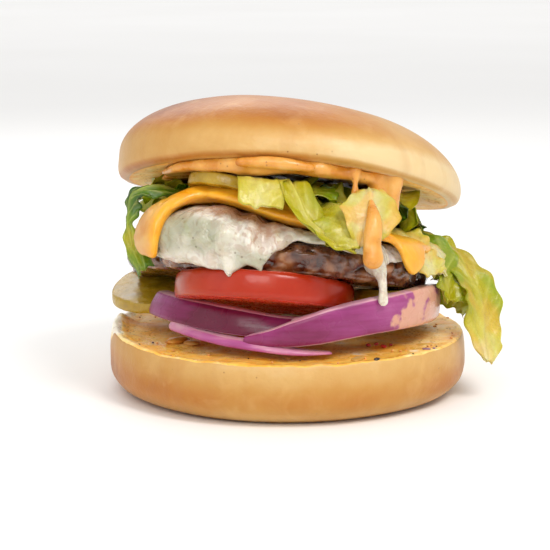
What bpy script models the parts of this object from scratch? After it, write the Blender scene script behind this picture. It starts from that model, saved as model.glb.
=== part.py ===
"""A hamburger: a cut bun, onion, tomato, pickles, a beef patty, two melted cheeses, lettuce and sauce.

Lengths are metres and +Z is up. The origin is the middle of the lower bun's base, which stands on z = 0,
and the front of the burger looks towards -Y. The patty and all above it lean back and to the right
together, so they are modelled level in the frame called the stack and then tilted onto the onion.
"""

import math

import bmesh
import bpy
from mathutils import Matrix, Vector

# Driving sizes
GAP = 0.0003
HEEL_RADIUS = 0.0576
HEEL_HEIGHT = 0.0193
CROWN_RADIUS = 0.0558
CROWN_DOME = 0.0196
CROWN_SLOPE = 0.040
PATTY_RADIUS = 0.0480
PATTY_FOOT = 0.0006
PATTY_TOP = 0.0106
TOMATO_RADIUS = 0.0280
TOMATO_THICKNESS = 0.0086
PICKLE_THICKNESS = 0.0036
ONION_WALL = 0.0042
LEAF_THICKNESS = 0.0011

# The stack's place and lean: its origin is under the middle of the patty
STACK_FOOT = Vector((-0.0036, 0.0, 0.0330))
STACK_PITCH = math.radians(-14.5)
STACK_ROLL = math.radians(4.5)
STACK = (
    Matrix.Translation(STACK_FOOT)
    @ Matrix.Rotation(STACK_ROLL, 4, "Y")
    @ Matrix.Rotation(STACK_PITCH, 4, "X")
)

# The bend of a cheese over the patty's shoulder
SHOULDER = 0.003
SHOULDER_START = PATTY_RADIUS + 0.0012 - SHOULDER
SHOULDER_END = SHOULDER_START + SHOULDER * math.pi / 2


def clear_scene():
    for thing in list(bpy.data.objects):
        bpy.data.objects.remove(thing, do_unlink=True)


def material(name, colour, roughness):
    made = bpy.data.materials.new(name)
    made.use_nodes = True
    shader = made.node_tree.nodes["Principled BSDF"]
    shader.inputs["Base Color"].default_value = (*colour, 1.0)
    shader.inputs["Roughness"].default_value = roughness
    shader.inputs["Metallic"].default_value = 0.0
    return made


def around(table, angle):
    """The value at an angle in degrees, eased between the entries of a closed table."""
    spots = sorted(table.items())
    for (first, low), (last, high) in zip(spots, spots[1:] + [(spots[0][0] + 360, spots[0][1])]):
        turn = (angle - first) % 360
        if turn <= last - first:
            ease = 0.5 - 0.5 * math.cos(math.pi * turn / (last - first))
            return low + (high - low) * ease
    return spots[0][1]


def along(values, share):
    """The value at a share of 0 to 1 along an evenly spaced list."""
    place = min(max(share, 0.0), 1.0) * (len(values) - 1)
    first = min(int(place), len(values) - 2)
    return values[first] + (values[first + 1] - values[first]) * (place - first)


def smooth_path(points, share):
    """A point on the smooth curve through the points."""
    place = min(max(share, 0.0), 1.0) * (len(points) - 1)
    first = min(int(place), len(points) - 2)
    t = place - first
    p1, p2 = points[first], points[first + 1]
    p0 = points[first - 1] if first else p1 * 2 - p2
    p3 = points[first + 2] if first + 2 < len(points) else p2 * 2 - p1
    return 0.5 * (p1 * 2 + (p2 - p0) * t + (p0 * 2 - p1 * 5 + p2 * 4 - p3) * t**2
                  + (p1 * 3 - p0 - p2 * 3 + p3) * t**3)


def uneven(angle, seed):
    """A soft unevenness from -1 to 1 that closes on itself round the circle."""
    turn = math.radians(angle)
    waves = math.sin(3 * turn + seed) + math.sin(5 * turn + 2.3 * seed) + 0.6 * math.sin(9 * turn + 4.1 * seed)
    return waves / 2.6


def bump(x, centre, width):
    return math.exp(-(((x - centre) / width) ** 2))


def turn_from(angle, centre):
    """The signed angle in degrees from centre to angle."""
    return (angle - centre + 180) % 360 - 180


def even_angles(count):
    return [360 * i / count for i in range(count)]


def add_object(name, mesh_data, finish, tilt=None):
    """Makes the object of a bmesh, split into triangles, with its faces pointing out."""
    bmesh.ops.triangulate(mesh_data, faces=mesh_data.faces, quad_method="SHORT_EDGE")
    bmesh.ops.recalc_face_normals(mesh_data, faces=mesh_data.faces)
    if tilt:
        mesh_data.transform(tilt)
    mesh = bpy.data.meshes.new(name)
    mesh_data.to_mesh(mesh)
    mesh_data.free()
    mesh.materials.append(finish)
    mesh.shade_smooth()
    thing = bpy.data.objects.new(name, mesh)
    bpy.context.scene.collection.objects.link(thing)
    return thing


def round_body(levels, angles, place):
    """A closed body of rings of points. Its first and last levels are single points."""
    made = bmesh.new()
    first = made.verts.new(place(levels[0], 0.0))
    last = made.verts.new(place(levels[-1], 0.0))
    rings = [[made.verts.new(place(level, angle)) for angle in angles] for level in levels[1:-1]]
    count = len(angles)
    for i in range(count):
        j = (i + 1) % count
        made.faces.new((first, rings[0][i], rings[0][j]))
        made.faces.new((last, rings[-1][j], rings[-1][i]))
        for upper, lower in zip(rings, rings[1:]):
            made.faces.new((upper[i], lower[i], lower[j], upper[j]))
    return made


def layer(reach, under, over, path, angles, shares=(0.0, 0.35, 0.62, 0.82, 0.95)):
    """A layer from under to over its path, out to its reach, with a rounded rim."""
    levels = [(share, 1) for share in shares] + [(1.0, 0)] + [(share, -1) for share in reversed(shares)]

    def place(level, angle):
        share, side = level
        s = share * reach(angle)
        top, bottom = over(s, angle), under(s, angle)
        lift = (top + bottom) / 2 + side * (top - bottom) / 2
        return path(s, angle, lift)

    return round_body(levels, angles, place)


def flat_path(s, angle, lift):
    turn = math.radians(angle)
    return Vector((s * math.cos(turn), s * math.sin(turn), lift))


def draped_path(s, angle, lift):
    """Across the patty, over its shoulder and down its side, at a lift above it."""
    turn = math.radians(angle)
    if s <= SHOULDER_START:
        radius, height = s, PATTY_TOP + lift
    elif s <= SHOULDER_END:
        bend = (s - SHOULDER_START) / SHOULDER
        radius = SHOULDER_START + (SHOULDER + lift) * math.sin(bend)
        height = PATTY_TOP - SHOULDER + (SHOULDER + lift) * math.cos(bend)
    else:
        radius = SHOULDER_START + SHOULDER + lift
        height = PATTY_TOP - SHOULDER - (s - SHOULDER_END)
    return Vector((radius * math.cos(turn), radius * math.sin(turn), height))


def drape_length(height):
    """How far from the middle a draped edge lies that hangs down to a height."""
    return SHOULDER_END + PATTY_TOP - SHOULDER - height


DRAPE_ANGLES = [-160 + 4 * i for i in range(36)] + [-8 + 12 * i for i in range(17)]


def draped_layer(hem, under, over):
    """A cheese draped over the patty, whose hem gives the height of its edge round the patty."""
    steps = [
        ("across", 0.0, 0.0), ("across", 0.55 * SHOULDER_START, 0.5), ("across", 0.82 * SHOULDER_START, 0.78),
        ("across", SHOULDER_START, 0.91), ("across", (SHOULDER_START + SHOULDER_END) / 2, 0.945),
        ("across", SHOULDER_END, 0.968), ("down", 0.62, 0.985),
    ]
    levels = [(step, 1) for step in steps] + [(("edge", 0, 0), 0)] + [(step, -1) for step in reversed(steps)]

    def place(level, angle):
        (kind, spot, share), side = level
        reach = drape_length(around(hem, angle))
        s = reach
        if kind == "across":
            s = min(spot, share * reach)
        elif kind == "down":
            s = SHOULDER_END + spot * (reach - SHOULDER_END) if reach > SHOULDER_END else share * reach
        top, bottom = over(s, angle), under(s, angle)
        return draped_path(s, angle, (top + bottom) / 2 + side * (top - bottom) / 2)

    return round_body(levels, DRAPE_ANGLES, place)


def drip_along(places, radii, finish, sides=8, rows=9):
    """A drip in the stack, as an object to fuse to what it runs from."""
    return add_object("drip", tube([Vector(place) for place in places], radii, sides, rows), finish, STACK)


def heading(points, share, step):
    """The direction of the smooth curve at a share of its length."""
    before = smooth_path(points, max(share - step, 0.0))
    after = smooth_path(points, min(share + step, 1.0))
    return (after - before).normalized()


def tube(points, radii, sides=8, rows=9):
    """A tapering drip along a smooth curve, with round ends."""
    made = bmesh.new()
    rings = []
    tips = []
    for end in (0.0, 1.0):
        ahead = smooth_path(points, end + (0.02 if end == 0.0 else -0.02)) - smooth_path(points, end)
        tips.append(made.verts.new(smooth_path(points, end) - ahead.normalized() * along(radii, end) * 0.7))
    for row in range(rows):
        share = row / (rows - 1)
        centre = smooth_path(points, share)
        ahead = heading(points, share, 0.02)
        side = ahead.cross(Vector((0.3, 1.0, 0.1))).normalized()
        front = ahead.cross(side)
        radius = along(radii, share)
        ring = []
        for i in range(sides):
            turn = 2 * math.pi * i / sides
            ring.append(made.verts.new(centre + (side * math.cos(turn) + front * math.sin(turn)) * radius))
        rings.append(ring)
    for i in range(sides):
        j = (i + 1) % sides
        made.faces.new((tips[0], rings[0][i], rings[0][j]))
        made.faces.new((tips[1], rings[-1][j], rings[-1][i]))
        for upper, lower in zip(rings, rings[1:]):
            made.faces.new((upper[i], lower[i], lower[j], upper[j]))
    return made


def leaf(spine, widths, facing, ripple=0.0012, waves=2.0, cup=0.0, rows=7, columns=4):
    """A thin wavy leaf along its spine, whose face looks along facing. Both faces are split alike."""
    made = bmesh.new()
    faces = {1: [], -1: []}
    facing = Vector(facing)
    points = [Vector(p) for p in spine]
    for row in range(rows):
        share = row / (rows - 1)
        centre = smooth_path(points, share)
        ahead = heading(points, share, 0.03)
        side = ahead.cross(facing).normalized()
        normal = side.cross(ahead)
        half = along(widths, share) / 2
        for out in faces:
            line = []
            for column in range(columns):
                across = 2 * column / (columns - 1) - 1
                phase = 0.9 if across > 0 else 2.6
                wave = math.sin(2 * math.pi * waves * share + phase) * abs(across) ** 1.5
                lift = cup * across**2 * half + ripple * wave + out * LEAF_THICKNESS / 2
                line.append(made.verts.new(centre + side * across * half + normal * lift))
            faces[out].append(line)
    for row in range(rows - 1):
        for column in range(columns - 1):
            for out, grid in faces.items():
                a, b = grid[row][column], grid[row][column + 1]
                c, d = grid[row + 1][column + 1], grid[row + 1][column]
                made.faces.new((a, b, c)[::out])
                made.faces.new((a, c, d)[::out])
    rim = [(row, 0) for row in range(rows)] + [(rows - 1, column) for column in range(1, columns)]
    rim += [(row, columns - 1) for row in range(rows - 2, -1, -1)]
    rim += [(0, column) for column in range(columns - 2, 0, -1)]
    for (row, column), (next_row, next_column) in zip(rim, rim[1:] + rim[:1]):
        made.faces.new((faces[1][row][column], faces[-1][row][column],
                        faces[-1][next_row][next_column], faces[1][next_row][next_column]))
    return made


def onion_arc(centre, radius, lean, start, end, foot, brim, steps):
    """An open onion ring: foot and brim are the heights of its two cut faces, round its centre."""
    made = bmesh.new()
    rings = []
    for step in range(steps + 1):
        angle = start + (end - start) * step / steps
        low, high = around(foot, angle), around(brim, angle)
        section = (
            (radius, low),
            (radius + 0.0006 - lean / 2, (low + high) / 2),
            (radius - lean, high),
            (radius - lean - ONION_WALL, high),
            (radius + 0.0006 - lean / 2 - ONION_WALL, (low + high) / 2),
            (radius - ONION_WALL, low),
        )
        middle = Vector((*centre, 0.0))
        rings.append([made.verts.new(middle + flat_path(reach, angle, height)) for reach, height in section])
    for ring, following in zip(rings, rings[1:]):
        for i in range(len(ring)):
            j = (i + 1) % len(ring)
            made.faces.new((ring[i], ring[j], following[j], following[i]))
    for ring in (rings[0], rings[-1]):
        made.faces.new((ring[0], ring[1], ring[4], ring[5]))
        made.faces.new((ring[1], ring[2], ring[3], ring[4]))
    return made


def settle(thing):
    """Bakes the object's modifiers into its mesh and keeps the largest of its bodies."""
    bpy.context.view_layer.update()
    baked = bpy.data.meshes.new_from_object(thing.evaluated_get(bpy.context.evaluated_depsgraph_get()))
    thing.modifiers.clear()
    made = bmesh.new()
    made.from_mesh(baked)
    bmesh.ops.remove_doubles(made, verts=made.verts, dist=0.000002)
    bmesh.ops.triangulate(made, faces=made.faces)
    islands = []
    left = set(made.faces)
    while left:
        seed = left.pop()
        island = {seed}
        front = [seed]
        while front:
            for edge in front.pop().edges:
                if len(edge.link_faces) == 2:
                    fresh = [face for face in edge.link_faces if face in left]
                    left.difference_update(fresh)
                    island.update(fresh)
                    front += fresh
        islands.append(island)
    largest = max(islands, key=lambda island: sum(face.calc_area() for face in island))
    bmesh.ops.delete(made, geom=[face for face in made.faces if face not in largest], context="FACES")
    made.to_mesh(baked)
    made.free()
    thing.data = baked
    baked.shade_smooth()


def fuse(thing, others):
    """Joins the others to the object by one union on a collection, and removes them."""
    group = bpy.data.collections.new(thing.name + " toppings")
    bpy.context.scene.collection.children.link(group)
    for other in others:
        bpy.context.scene.collection.objects.unlink(other)
        group.objects.link(other)
    join = thing.modifiers.new("join", "BOOLEAN")
    join.operation = "UNION"
    join.operand_type = "COLLECTION"
    join.collection = group
    join.solver = "EXACT"
    settle(thing)
    for other in others:
        bpy.data.objects.remove(other, do_unlink=True)
    bpy.data.collections.remove(group)


def trim(thing, neighbours):
    """Cuts from the object what would come closer than the gap to its neighbours."""
    cutters = []
    for neighbour in neighbours:
        for growth in (GAP, 0.0):
            mesh = neighbour.data.copy()
            normals = [vert.normal.copy() for vert in mesh.vertices]
            for vert, normal in zip(mesh.vertices, normals):
                vert.co += normal * growth
            cutter = bpy.data.objects.new("cutter", mesh)
            cutter.hide_render = True
            cutter.display_type = "WIRE"
            bpy.context.scene.collection.objects.link(cutter)
            cutters.append(cutter)
            room = thing.modifiers.new("room", "BOOLEAN")
            room.operation = "DIFFERENCE"
            room.object = cutter
            room.solver = "EXACT"
    settle(thing)
    for cutter in cutters:
        bpy.data.objects.remove(cutter, do_unlink=True)


def make_heel(finish):
    """The lower bun, cut flat on top, with a puffed crumb edge at its left."""
    profile = [
        (0.0, 0.975), (0.45, 0.975), (0.78, 0.985), (0.92, 0.99), (0.975, 1.0), (0.993, 0.90), (1.0, 0.66),
        (0.998, 0.42), (0.978, 0.25), (0.93, 0.11), (0.87, 0.03), (0.80, 0.0), (0.45, 0.0), (0.0, 0.0),
    ]

    def place(level, angle):
        share, height = level
        radius = share * HEEL_RADIUS * (1 + 0.008 * uneven(angle, 1.7))
        puff = 0.0022 * bump(turn_from(angle, 178), 0, 26) * bump(share, 0.965, 0.06) * (height > 0.5)
        dip = 0.0004 * uneven(angle * 2, 0.6) * (0.3 < share < 0.96) * (height > 0.9)
        return flat_path(radius, angle, height * HEEL_HEIGHT + puff + dip)

    return add_object("bun_heel", round_body(profile, even_angles(44), place), finish)


def crown_cut(x):
    """The height in the stack of the upper bun's cut face, whose left and right edges droop."""
    return 0.0342 - 0.0037 * (x / 0.052) ** 2


def make_crown(finish):
    """The upper bun: a low dome over a cut face."""
    dome = [0.0, 0.28, 0.5, 0.68, 0.82, 0.92, 0.975]
    rim = [(1.0, 0.0042), (0.993, 0.0022), (0.968, 0.0007), (0.94, 0.0)]
    levels = [("dome", share) for share in dome] + [("rim", spot) for spot in rim]
    levels += [("cut", 0.72), ("cut", 0.36), ("cut", 0.0)]

    def place(level, angle):
        kind, spot = level
        share = spot[0] if kind == "rim" else spot
        radius = share * CROWN_RADIUS * (1 + 0.010 * uneven(angle, 3.1))
        point = flat_path(radius, angle, 0.0) + Vector((0.0015, -0.0005, 0.0))
        if kind == "dome":
            rise = CROWN_DOME * (1 - share**2.8) ** (1 / 1.9)
            point.z = 0.0388 - 0.0018 * (point.x / 0.052) ** 2 + rise - CROWN_SLOPE * point.x
            return point
        point.z = crown_cut(point.x) + (spot[1] if kind == "rim" else 0.0)
        return point

    return add_object("bun_crown", round_body(levels, even_angles(44), place), finish, STACK)


def make_onions(finish):
    """Three open rings: one lies on the bun, one leans on it at the left, one stands at the right."""
    lower = onion_arc(
        (0.0, -0.006), 0.044, 0.0010, -147, -72,
        {-147: 0.0248, -136: 0.0242, -109: 0.0224, -85: 0.0206, -72: 0.0199},
        {-147: 0.0284, -136: 0.0268, -109: 0.0250, -89: 0.0229, -72: 0.0218}, 20,
    )
    right = onion_arc(
        (0.0035, -0.005), 0.045, 0.0, -112, 52,
        {-112: 0.0233, -92: 0.0233, -77: 0.0248, -64: 0.0262, -48: 0.0264, -25: 0.0256, -5: 0.0245,
         20: 0.0216, 52: 0.0199},
        {-112: 0.0256, -96: 0.0302, -84: 0.0336, -75: 0.0356, -64: 0.0369, -48: 0.0376, -25: 0.0376,
         -5: 0.0354, 20: 0.0300, 52: 0.0240},
        32,
    )
    inner = onion_arc(
        (0.005, -0.005), 0.0412, 0.0, -96, -8,
        {-96: 0.0236, -77: 0.0250, -50: 0.0268, -8: 0.0272},
        {-96: 0.0304, -83: 0.0337, -72: 0.0350, -54: 0.0362, -8: 0.0340}, 16,
    )
    left = onion_arc(
        (-0.006, -0.005), 0.0397, 0.0030, -164, -52,
        {-164: 0.0272, -140: 0.0274, -123: 0.0268, -101: 0.0256, -82: 0.0252, -52: 0.0262},
        {-164: 0.0342, -150: 0.0348, -123: 0.0345, -101: 0.0330, -82: 0.0306, -52: 0.0296}, 22,
    )
    names = ("onion_ring_lower", "onion_ring_right", "onion_ring_inner", "onion_ring_left")
    return [add_object(name, made, finish) for name, made in zip(names, (lower, right, inner, left))]


def make_slice(name, centre, radius, thickness, tilt, finish, sides, droop=0.0):
    """A round slice with a soft rim. tilt holds its turns about X and Y in degrees."""
    shares = (0.0, 0.5, 0.85, 0.965)

    def reach(angle):
        return radius * (1 + 0.01 * uneven(angle, radius * 700))

    def path(s, angle, lift):
        point = flat_path(s, angle, lift)
        point.z -= droop * max(0.0, -point.x / radius) ** 2
        return point

    half = thickness / 2
    made = layer(reach, lambda s, angle: -half, lambda s, angle: half, path, even_angles(sides), shares)
    lean = Matrix.Rotation(math.radians(tilt[1]), 4, "Y") @ Matrix.Rotation(math.radians(tilt[0]), 4, "X")
    return add_object(name, made, finish, STACK @ Matrix.Translation(centre) @ lean)


def make_patty(finish):
    """The beef patty, with a craggy rim."""
    levels = [
        (0.0, 1.0), (0.4, 1.0), (0.7, 0.98), (0.88, 1.0), (0.965, 0.88), (1.0, 0.62), (0.99, 0.34),
        (0.965, 0.14), (0.90, 0.0), (0.5, 0.0), (0.0, 0.0),
    ]

    def place(level, angle):
        share, height = level
        crag = 0.016 * uneven(angle * 2, 0.9 + 5 * height) + 0.010 * uneven(angle * 4, 2.2 + 9 * height)
        radius = share * PATTY_RADIUS * (1 + crag * (share > 0.9) - 0.008)
        lump = 0.0003 * uneven(angle * 3, 1.3 + share * 6) * (height > 0.5) * (share > 0.2)
        return flat_path(radius, angle, PATTY_FOOT + height * (PATTY_TOP - PATTY_FOOT) + lump)

    return add_object("patty", round_body(levels, even_angles(60), place), finish, STACK)


# How low the white cheese hangs round the patty, as heights in the stack
WHITE_HEM = {
    -180: 0.0118, -160: 0.0116, -148: 0.0070, -137: 0.0034, -124: 0.0018, -111: 0.0002, -106: -0.0008,
    -101: 0.0018, -97: 0.0010, -91: 0.0070, -84: 0.0092, -70: 0.0086, -61: 0.0076, -55: 0.0040, -48: 0.0068,
    -38: 0.0085, -20: 0.0100, 0: 0.0100, 35: 0.0085, 62: 0.0040, 80: 0.0080, 110: 0.0095, 140: 0.0060,
    160: 0.0095,
}
# How low the yellow cheese hangs: its front edge stays on the white heap, its corners fall
YELLOW_HEM = {
    -180: 0.0128, -160: 0.0146, -146: 0.0128, -137: 0.0036, -129: 0.0024, -123: 0.0100, -116: 0.0116,
    -90: 0.0112, -62: 0.0108, -50: 0.0098, -41: 0.0040, -32: 0.0092, -10: 0.0112, 20: 0.0100,
    42: 0.0048, 64: 0.0096, 95: 0.0112, 120: 0.0096, 141: 0.0048, 162: 0.0100,
}


def white_top(s, angle):
    """The white cheese's thickness, which swells to a heap at the front left."""
    heap = bump(turn_from(angle, -120), 0, 25) * bump(s, 0.0435, 0.0130)
    return 0.0030 + 0.0068 * heap - 0.0006 * bump(s, 0.062, 0.006)


def make_white_cheese(finish):
    made = draped_layer(WHITE_HEM, lambda s, angle: 0.0009, white_top)
    cheese = add_object("cheese_white", made, finish, STACK)
    drip = drip_along(
        [(0.0285, -0.0425, 0.0060), (0.0303, -0.0440, 0.0030), (0.0313, -0.0447, -0.0008),
         (0.0317, -0.0447, -0.0052)],
        [0.0036, 0.0026, 0.0017, 0.0016, 0.0018], finish,
    )
    fuse(cheese, [drip])
    return cheese


# How far the yellow cheese's fold rises behind its front edge, round the patty
YELLOW_FOLD = {
    -180: 0.0, -152: 0.0, -136: 0.0042, -122: 0.0062, -104: 0.0056, -82: 0.0042, -58: 0.0034, -44: 0.0,
    90: 0.0,
}


def yellow_under(s, angle):
    return white_top(s, angle) + 2 * GAP


def yellow_over(s, angle):
    return yellow_under(s, angle) + 0.0024 + around(YELLOW_FOLD, angle) * bump(s, 0.0375, 0.0080)


def make_yellow_cheese(finish):
    made = draped_layer(YELLOW_HEM, yellow_under, yellow_over)
    return add_object("cheese_yellow", made, finish, STACK)


# How far the sauce spreads from the middle, round the upper bun
SAUCE_REACH = {
    -180: 0.046, -150: 0.048, -122: 0.0515, -90: 0.0520, -60: 0.0515, -30: 0.050, 0: 0.047, 90: 0.044,
}


def make_sauce(finish):
    """The sauce under the upper bun, thick along the front, with a run down to the cheese."""
    def path(s, angle, lift):
        point = flat_path(s, angle, lift)
        point.z += crown_cut(point.x) - 2.5 * GAP
        return point

    def under(s, angle):
        lip = bump(s, 0.0485, 0.005) * bump(turn_from(angle, -95), 0, 38)
        return -0.0014 - 0.0030 * lip * (0.75 + 0.25 * uneven(angle * 2, 0.4))

    made = layer(lambda angle: around(SAUCE_REACH, angle), under, lambda s, angle: 0.0, path,
                 even_angles(36), (0.0, 0.55, 0.86, 0.95))
    sauce = add_object("sauce", made, finish, STACK)
    run = drip_along(
        [(0.0318, -0.0395, 0.0325), (0.0322, -0.0395, 0.0275), (0.0328, -0.0375, 0.0225)],
        [0.0042, 0.0030, 0.0024], finish,
    )
    string = drip_along(
        [(0.0203, -0.0480, 0.0330), (0.0206, -0.0485, 0.0290), (0.0206, -0.0485, 0.0262)],
        [0.0018, 0.0010, 0.0013], finish, 6, 6,
    )
    fuse(sauce, [run, string])
    return sauce


# How far the heap of lettuce reaches from the middle: it is drawn in where the cheese's fold shows
LETTUCE_REACH = {
    -180: 0.040, -150: 0.036, -128: 0.020, -112: 0.020, -98: 0.032, -80: 0.041, -45: 0.042, 0: 0.041,
    90: 0.042, 140: 0.040,
}


def front_leaves():
    """An upright piece, a folded rib, a green leaf, a dark one behind them and a pointed leaf."""
    upright = leaf(
        [(-0.0050, -0.0300, 0.0235), (-0.0062, -0.0420, 0.0262), (-0.0078, -0.0520, 0.0272),
         (-0.0074, -0.0560, 0.0190)],
        [0.012, 0.013, 0.0145, 0.0135], (0.05, -0.6, 0.8), 0.0008, 1.2, 0.10,
    )
    folded = leaf(
        [(-0.0005, -0.0330, 0.0235), (0.0008, -0.0500, 0.0275), (0.0070, -0.0560, 0.0160),
         (0.0140, -0.0570, 0.0112), (0.0215, -0.0566, 0.0080)],
        [0.007, 0.008, 0.009, 0.008, 0.005], (0.1, -0.7, 0.7), 0.0010, 2.0, 0.45, 9,
    )
    green = leaf(
        [(0.0100, -0.0330, 0.0225), (0.0150, -0.0490, 0.0215), (0.0185, -0.0555, 0.0160),
         (0.0225, -0.0572, 0.0095)],
        [0.014, 0.020, 0.019, 0.010], (0.0, -0.7, 0.7), 0.0014, 2.0, -0.15,
    )
    dark = leaf(
        [(0.0070, -0.0300, 0.0250), (0.0085, -0.0400, 0.0278), (0.0090, -0.0475, 0.0248)],
        [0.012, 0.0150, 0.0130], (0.0, -0.5, 0.9), 0.0014, 1.5, -0.2, 6,
    )
    pointed = leaf(
        [(0.0230, -0.0330, 0.0240), (0.0246, -0.0500, 0.0272), (0.0250, -0.0565, 0.0190),
         (0.0236, -0.0575, 0.0095)],
        [0.006, 0.007, 0.0190, 0.0060], (0.05, -0.9, 0.3), 0.0010, 1.5, 0.12, 8,
    )
    return [upright, folded, green, dark, pointed]


def left_strip():
    """A curled strip that hangs beside the patty."""
    return leaf(
        [(-0.0240, -0.0160, 0.0232), (-0.0385, -0.0300, 0.0252), (-0.0458, -0.0305, 0.0228),
         (-0.0474, -0.0305, 0.0168), (-0.0462, -0.0315, 0.0090), (-0.0415, -0.0345, -0.0010)],
        [0.009, 0.0065, 0.0062, 0.0058, 0.0050, 0.0072], (-0.7, -0.6, 0.3), 0.0012, 2.5, -0.3, 12,
    )


def right_leaves():
    """The leaves that fall past the onion, from the front to the back, and the tail below them."""
    front = leaf(
        [(0.0290, -0.0180, 0.0212), (0.0375, -0.0250, 0.0168), (0.0440, -0.0280, 0.0115),
         (0.0475, -0.0280, 0.0050)],
        [0.010, 0.012, 0.014, 0.011], (0.5, -0.6, 0.6), 0.0014, 2.0, 0.15,
    )
    pale = leaf(
        [(0.0300, -0.0100, 0.0210), (0.0430, -0.0150, 0.0175), (0.0490, -0.0195, 0.0130),
         (0.0520, -0.0210, 0.0060)],
        [0.012, 0.013, 0.0145, 0.010], (0.7, -0.5, 0.5), 0.0012, 1.5, -0.2,
    )
    inner = leaf(
        [(0.0310, -0.0060, 0.0205), (0.0470, -0.0120, 0.0140), (0.0525, -0.0160, 0.0060),
         (0.0545, -0.0170, -0.0020)],
        [0.014, 0.016, 0.014, 0.010], (0.8, -0.6, 0.2), 0.0014, 2.0, 0.3,
    )
    far = leaf(
        [(0.0320, 0.0020, 0.0195), (0.0460, -0.0010, 0.0165), (0.0560, -0.0045, 0.0112),
         (0.0585, -0.0070, 0.0045), (0.0560, -0.0090, -0.0035)],
        [0.012, 0.0125, 0.0155, 0.0165, 0.011], (0.35, -0.85, 0.4), 0.0020, 2.5, -0.15, 10,
    )
    tail = leaf(
        [(0.0360, -0.0020, 0.0195), (0.0535, -0.0070, 0.0145), (0.0612, -0.0100, 0.0065),
         (0.0650, -0.0120, -0.0015), (0.0660, -0.0150, -0.0110), (0.0672, -0.0185, -0.0200)],
        [0.008, 0.009, 0.012, 0.018, 0.014, 0.006], (0.6, -0.8, 0.2), 0.0014, 2.0, 0.2, 12,
    )
    return [front, pale, inner, far, tail]


def make_lettuce(finish):
    """The heap of lettuce between the cheese and the sauce, with the leaves that hang out of it."""
    def under(s, angle):
        return 0.0170 + 0.0006 * uneven(angle * 2, 2.0) * (s > 0.01)

    def over(s, angle):
        return 0.0288 + 0.0008 * uneven(angle * 2, 0.3) * (s > 0.01) - 0.0030 * (s / 0.052) ** 2

    made = layer(lambda angle: around(LETTUCE_REACH, angle), under, over, flat_path,
                 even_angles(30), (0.0, 0.5, 0.9))
    core = add_object("lettuce", made, finish, STACK)
    leaves = front_leaves() + [left_strip()] + right_leaves()
    pieces = [add_object("leaf", made, finish, STACK) for made in leaves]
    pieces.append(drip_along(
        [(0.0252, -0.0560, 0.0230), (0.0262, -0.0588, 0.0170), (0.0262, -0.0590, 0.0110),
         (0.0268, -0.0590, 0.0060)],
        [0.0030, 0.0034, 0.0034, 0.0026, 0.0030], finish,
    ))
    fuse(core, pieces)
    return core


def main():
    clear_scene()
    crust = material("crust", (0.58, 0.33, 0.13), 0.42)
    purple = material("onion", (0.30, 0.07, 0.22), 0.28)
    red = material("tomato", (0.56, 0.08, 0.03), 0.25)
    olive = material("pickle", (0.30, 0.26, 0.07), 0.30)
    beef = material("beef", (0.10, 0.05, 0.035), 0.45)
    cream = material("white cheese", (0.72, 0.68, 0.50), 0.30)
    amber = material("yellow cheese", (0.86, 0.45, 0.05), 0.32)
    orange = material("burger sauce", (0.84, 0.44, 0.12), 0.25)
    green = material("lettuce", (0.36, 0.48, 0.08), 0.40)

    heel = make_heel(crust)
    crown = make_crown(crust)
    patty = make_patty(beef)
    lower, right, inner, left = make_onions(purple)
    tomato = make_slice(
        "tomato_slice", (-0.0040, -0.0240, -0.0041), TOMATO_RADIUS, TOMATO_THICKNESS, (-1.2, 0.3), red, 40,
    )
    pickle_left = make_slice(
        "pickle_left", (-0.0355, 0.0045, -0.0030), 0.0180, PICKLE_THICKNESS, (26.0, -7.0), olive, 26, 0.0020,
    )
    pickle_middle = make_slice(
        "pickle_middle", (0.0365, -0.0140, -0.0024), 0.0125, PICKLE_THICKNESS, (0.0, 0.0), olive, 24,
    )
    pickle_top = make_slice(
        "pickle_top", (-0.0180, -0.0350, 0.0265), 0.0120, PICKLE_THICKNESS, (-4.0, 8.0), olive, 24,
    )
    white = make_white_cheese(cream)
    yellow = make_yellow_cheese(amber)
    sauce = make_sauce(orange)
    lettuce = make_lettuce(green)

    trim(tomato, [patty])
    trim(lower, [heel])
    trim(right, [heel, lower, patty, tomato])
    trim(inner, [heel, lower, right, patty, tomato])
    trim(left, [heel, lower, right, inner, patty, tomato])
    trim(pickle_left, [left, patty, tomato])
    trim(pickle_middle, [patty, tomato, right, inner, left])
    trim(white, [patty, tomato, right, inner])
    trim(yellow, [white])
    trim(pickle_top, [yellow, white])
    trim(sauce, [pickle_top, crown, yellow])
    trim(lettuce, [crown, sauce, yellow, white, pickle_top, patty, right, heel, pickle_middle, pickle_left])


main()
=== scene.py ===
"""Looks of a hamburger: baked bun, onion rings, tomato, pickles, patty, melted cheeses, lettuce and sauce.

Lengths are metres and +Z is up. The front looks towards -Y. The patty and all above it are modelled level in
the frame called the stack, as in the solids, and then tilted onto the onion.
"""

import math
import random
from collections import defaultdict

import bpy
from mathutils import Matrix, Vector, noise


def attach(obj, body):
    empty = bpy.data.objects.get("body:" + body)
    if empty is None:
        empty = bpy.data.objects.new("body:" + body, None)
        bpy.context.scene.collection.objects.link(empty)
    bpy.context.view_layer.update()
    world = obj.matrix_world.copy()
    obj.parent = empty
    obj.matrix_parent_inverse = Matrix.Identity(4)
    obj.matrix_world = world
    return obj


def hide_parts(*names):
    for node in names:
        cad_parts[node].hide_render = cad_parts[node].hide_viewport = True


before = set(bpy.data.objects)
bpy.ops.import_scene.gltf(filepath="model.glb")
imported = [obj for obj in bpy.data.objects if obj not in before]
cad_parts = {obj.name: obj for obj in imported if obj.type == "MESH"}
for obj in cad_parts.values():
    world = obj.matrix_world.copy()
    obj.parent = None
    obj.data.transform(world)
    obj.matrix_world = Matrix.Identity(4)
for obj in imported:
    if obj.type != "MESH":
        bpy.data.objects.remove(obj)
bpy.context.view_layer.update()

# Driving sizes, the same as the solids'
GAP = 0.0003
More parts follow.
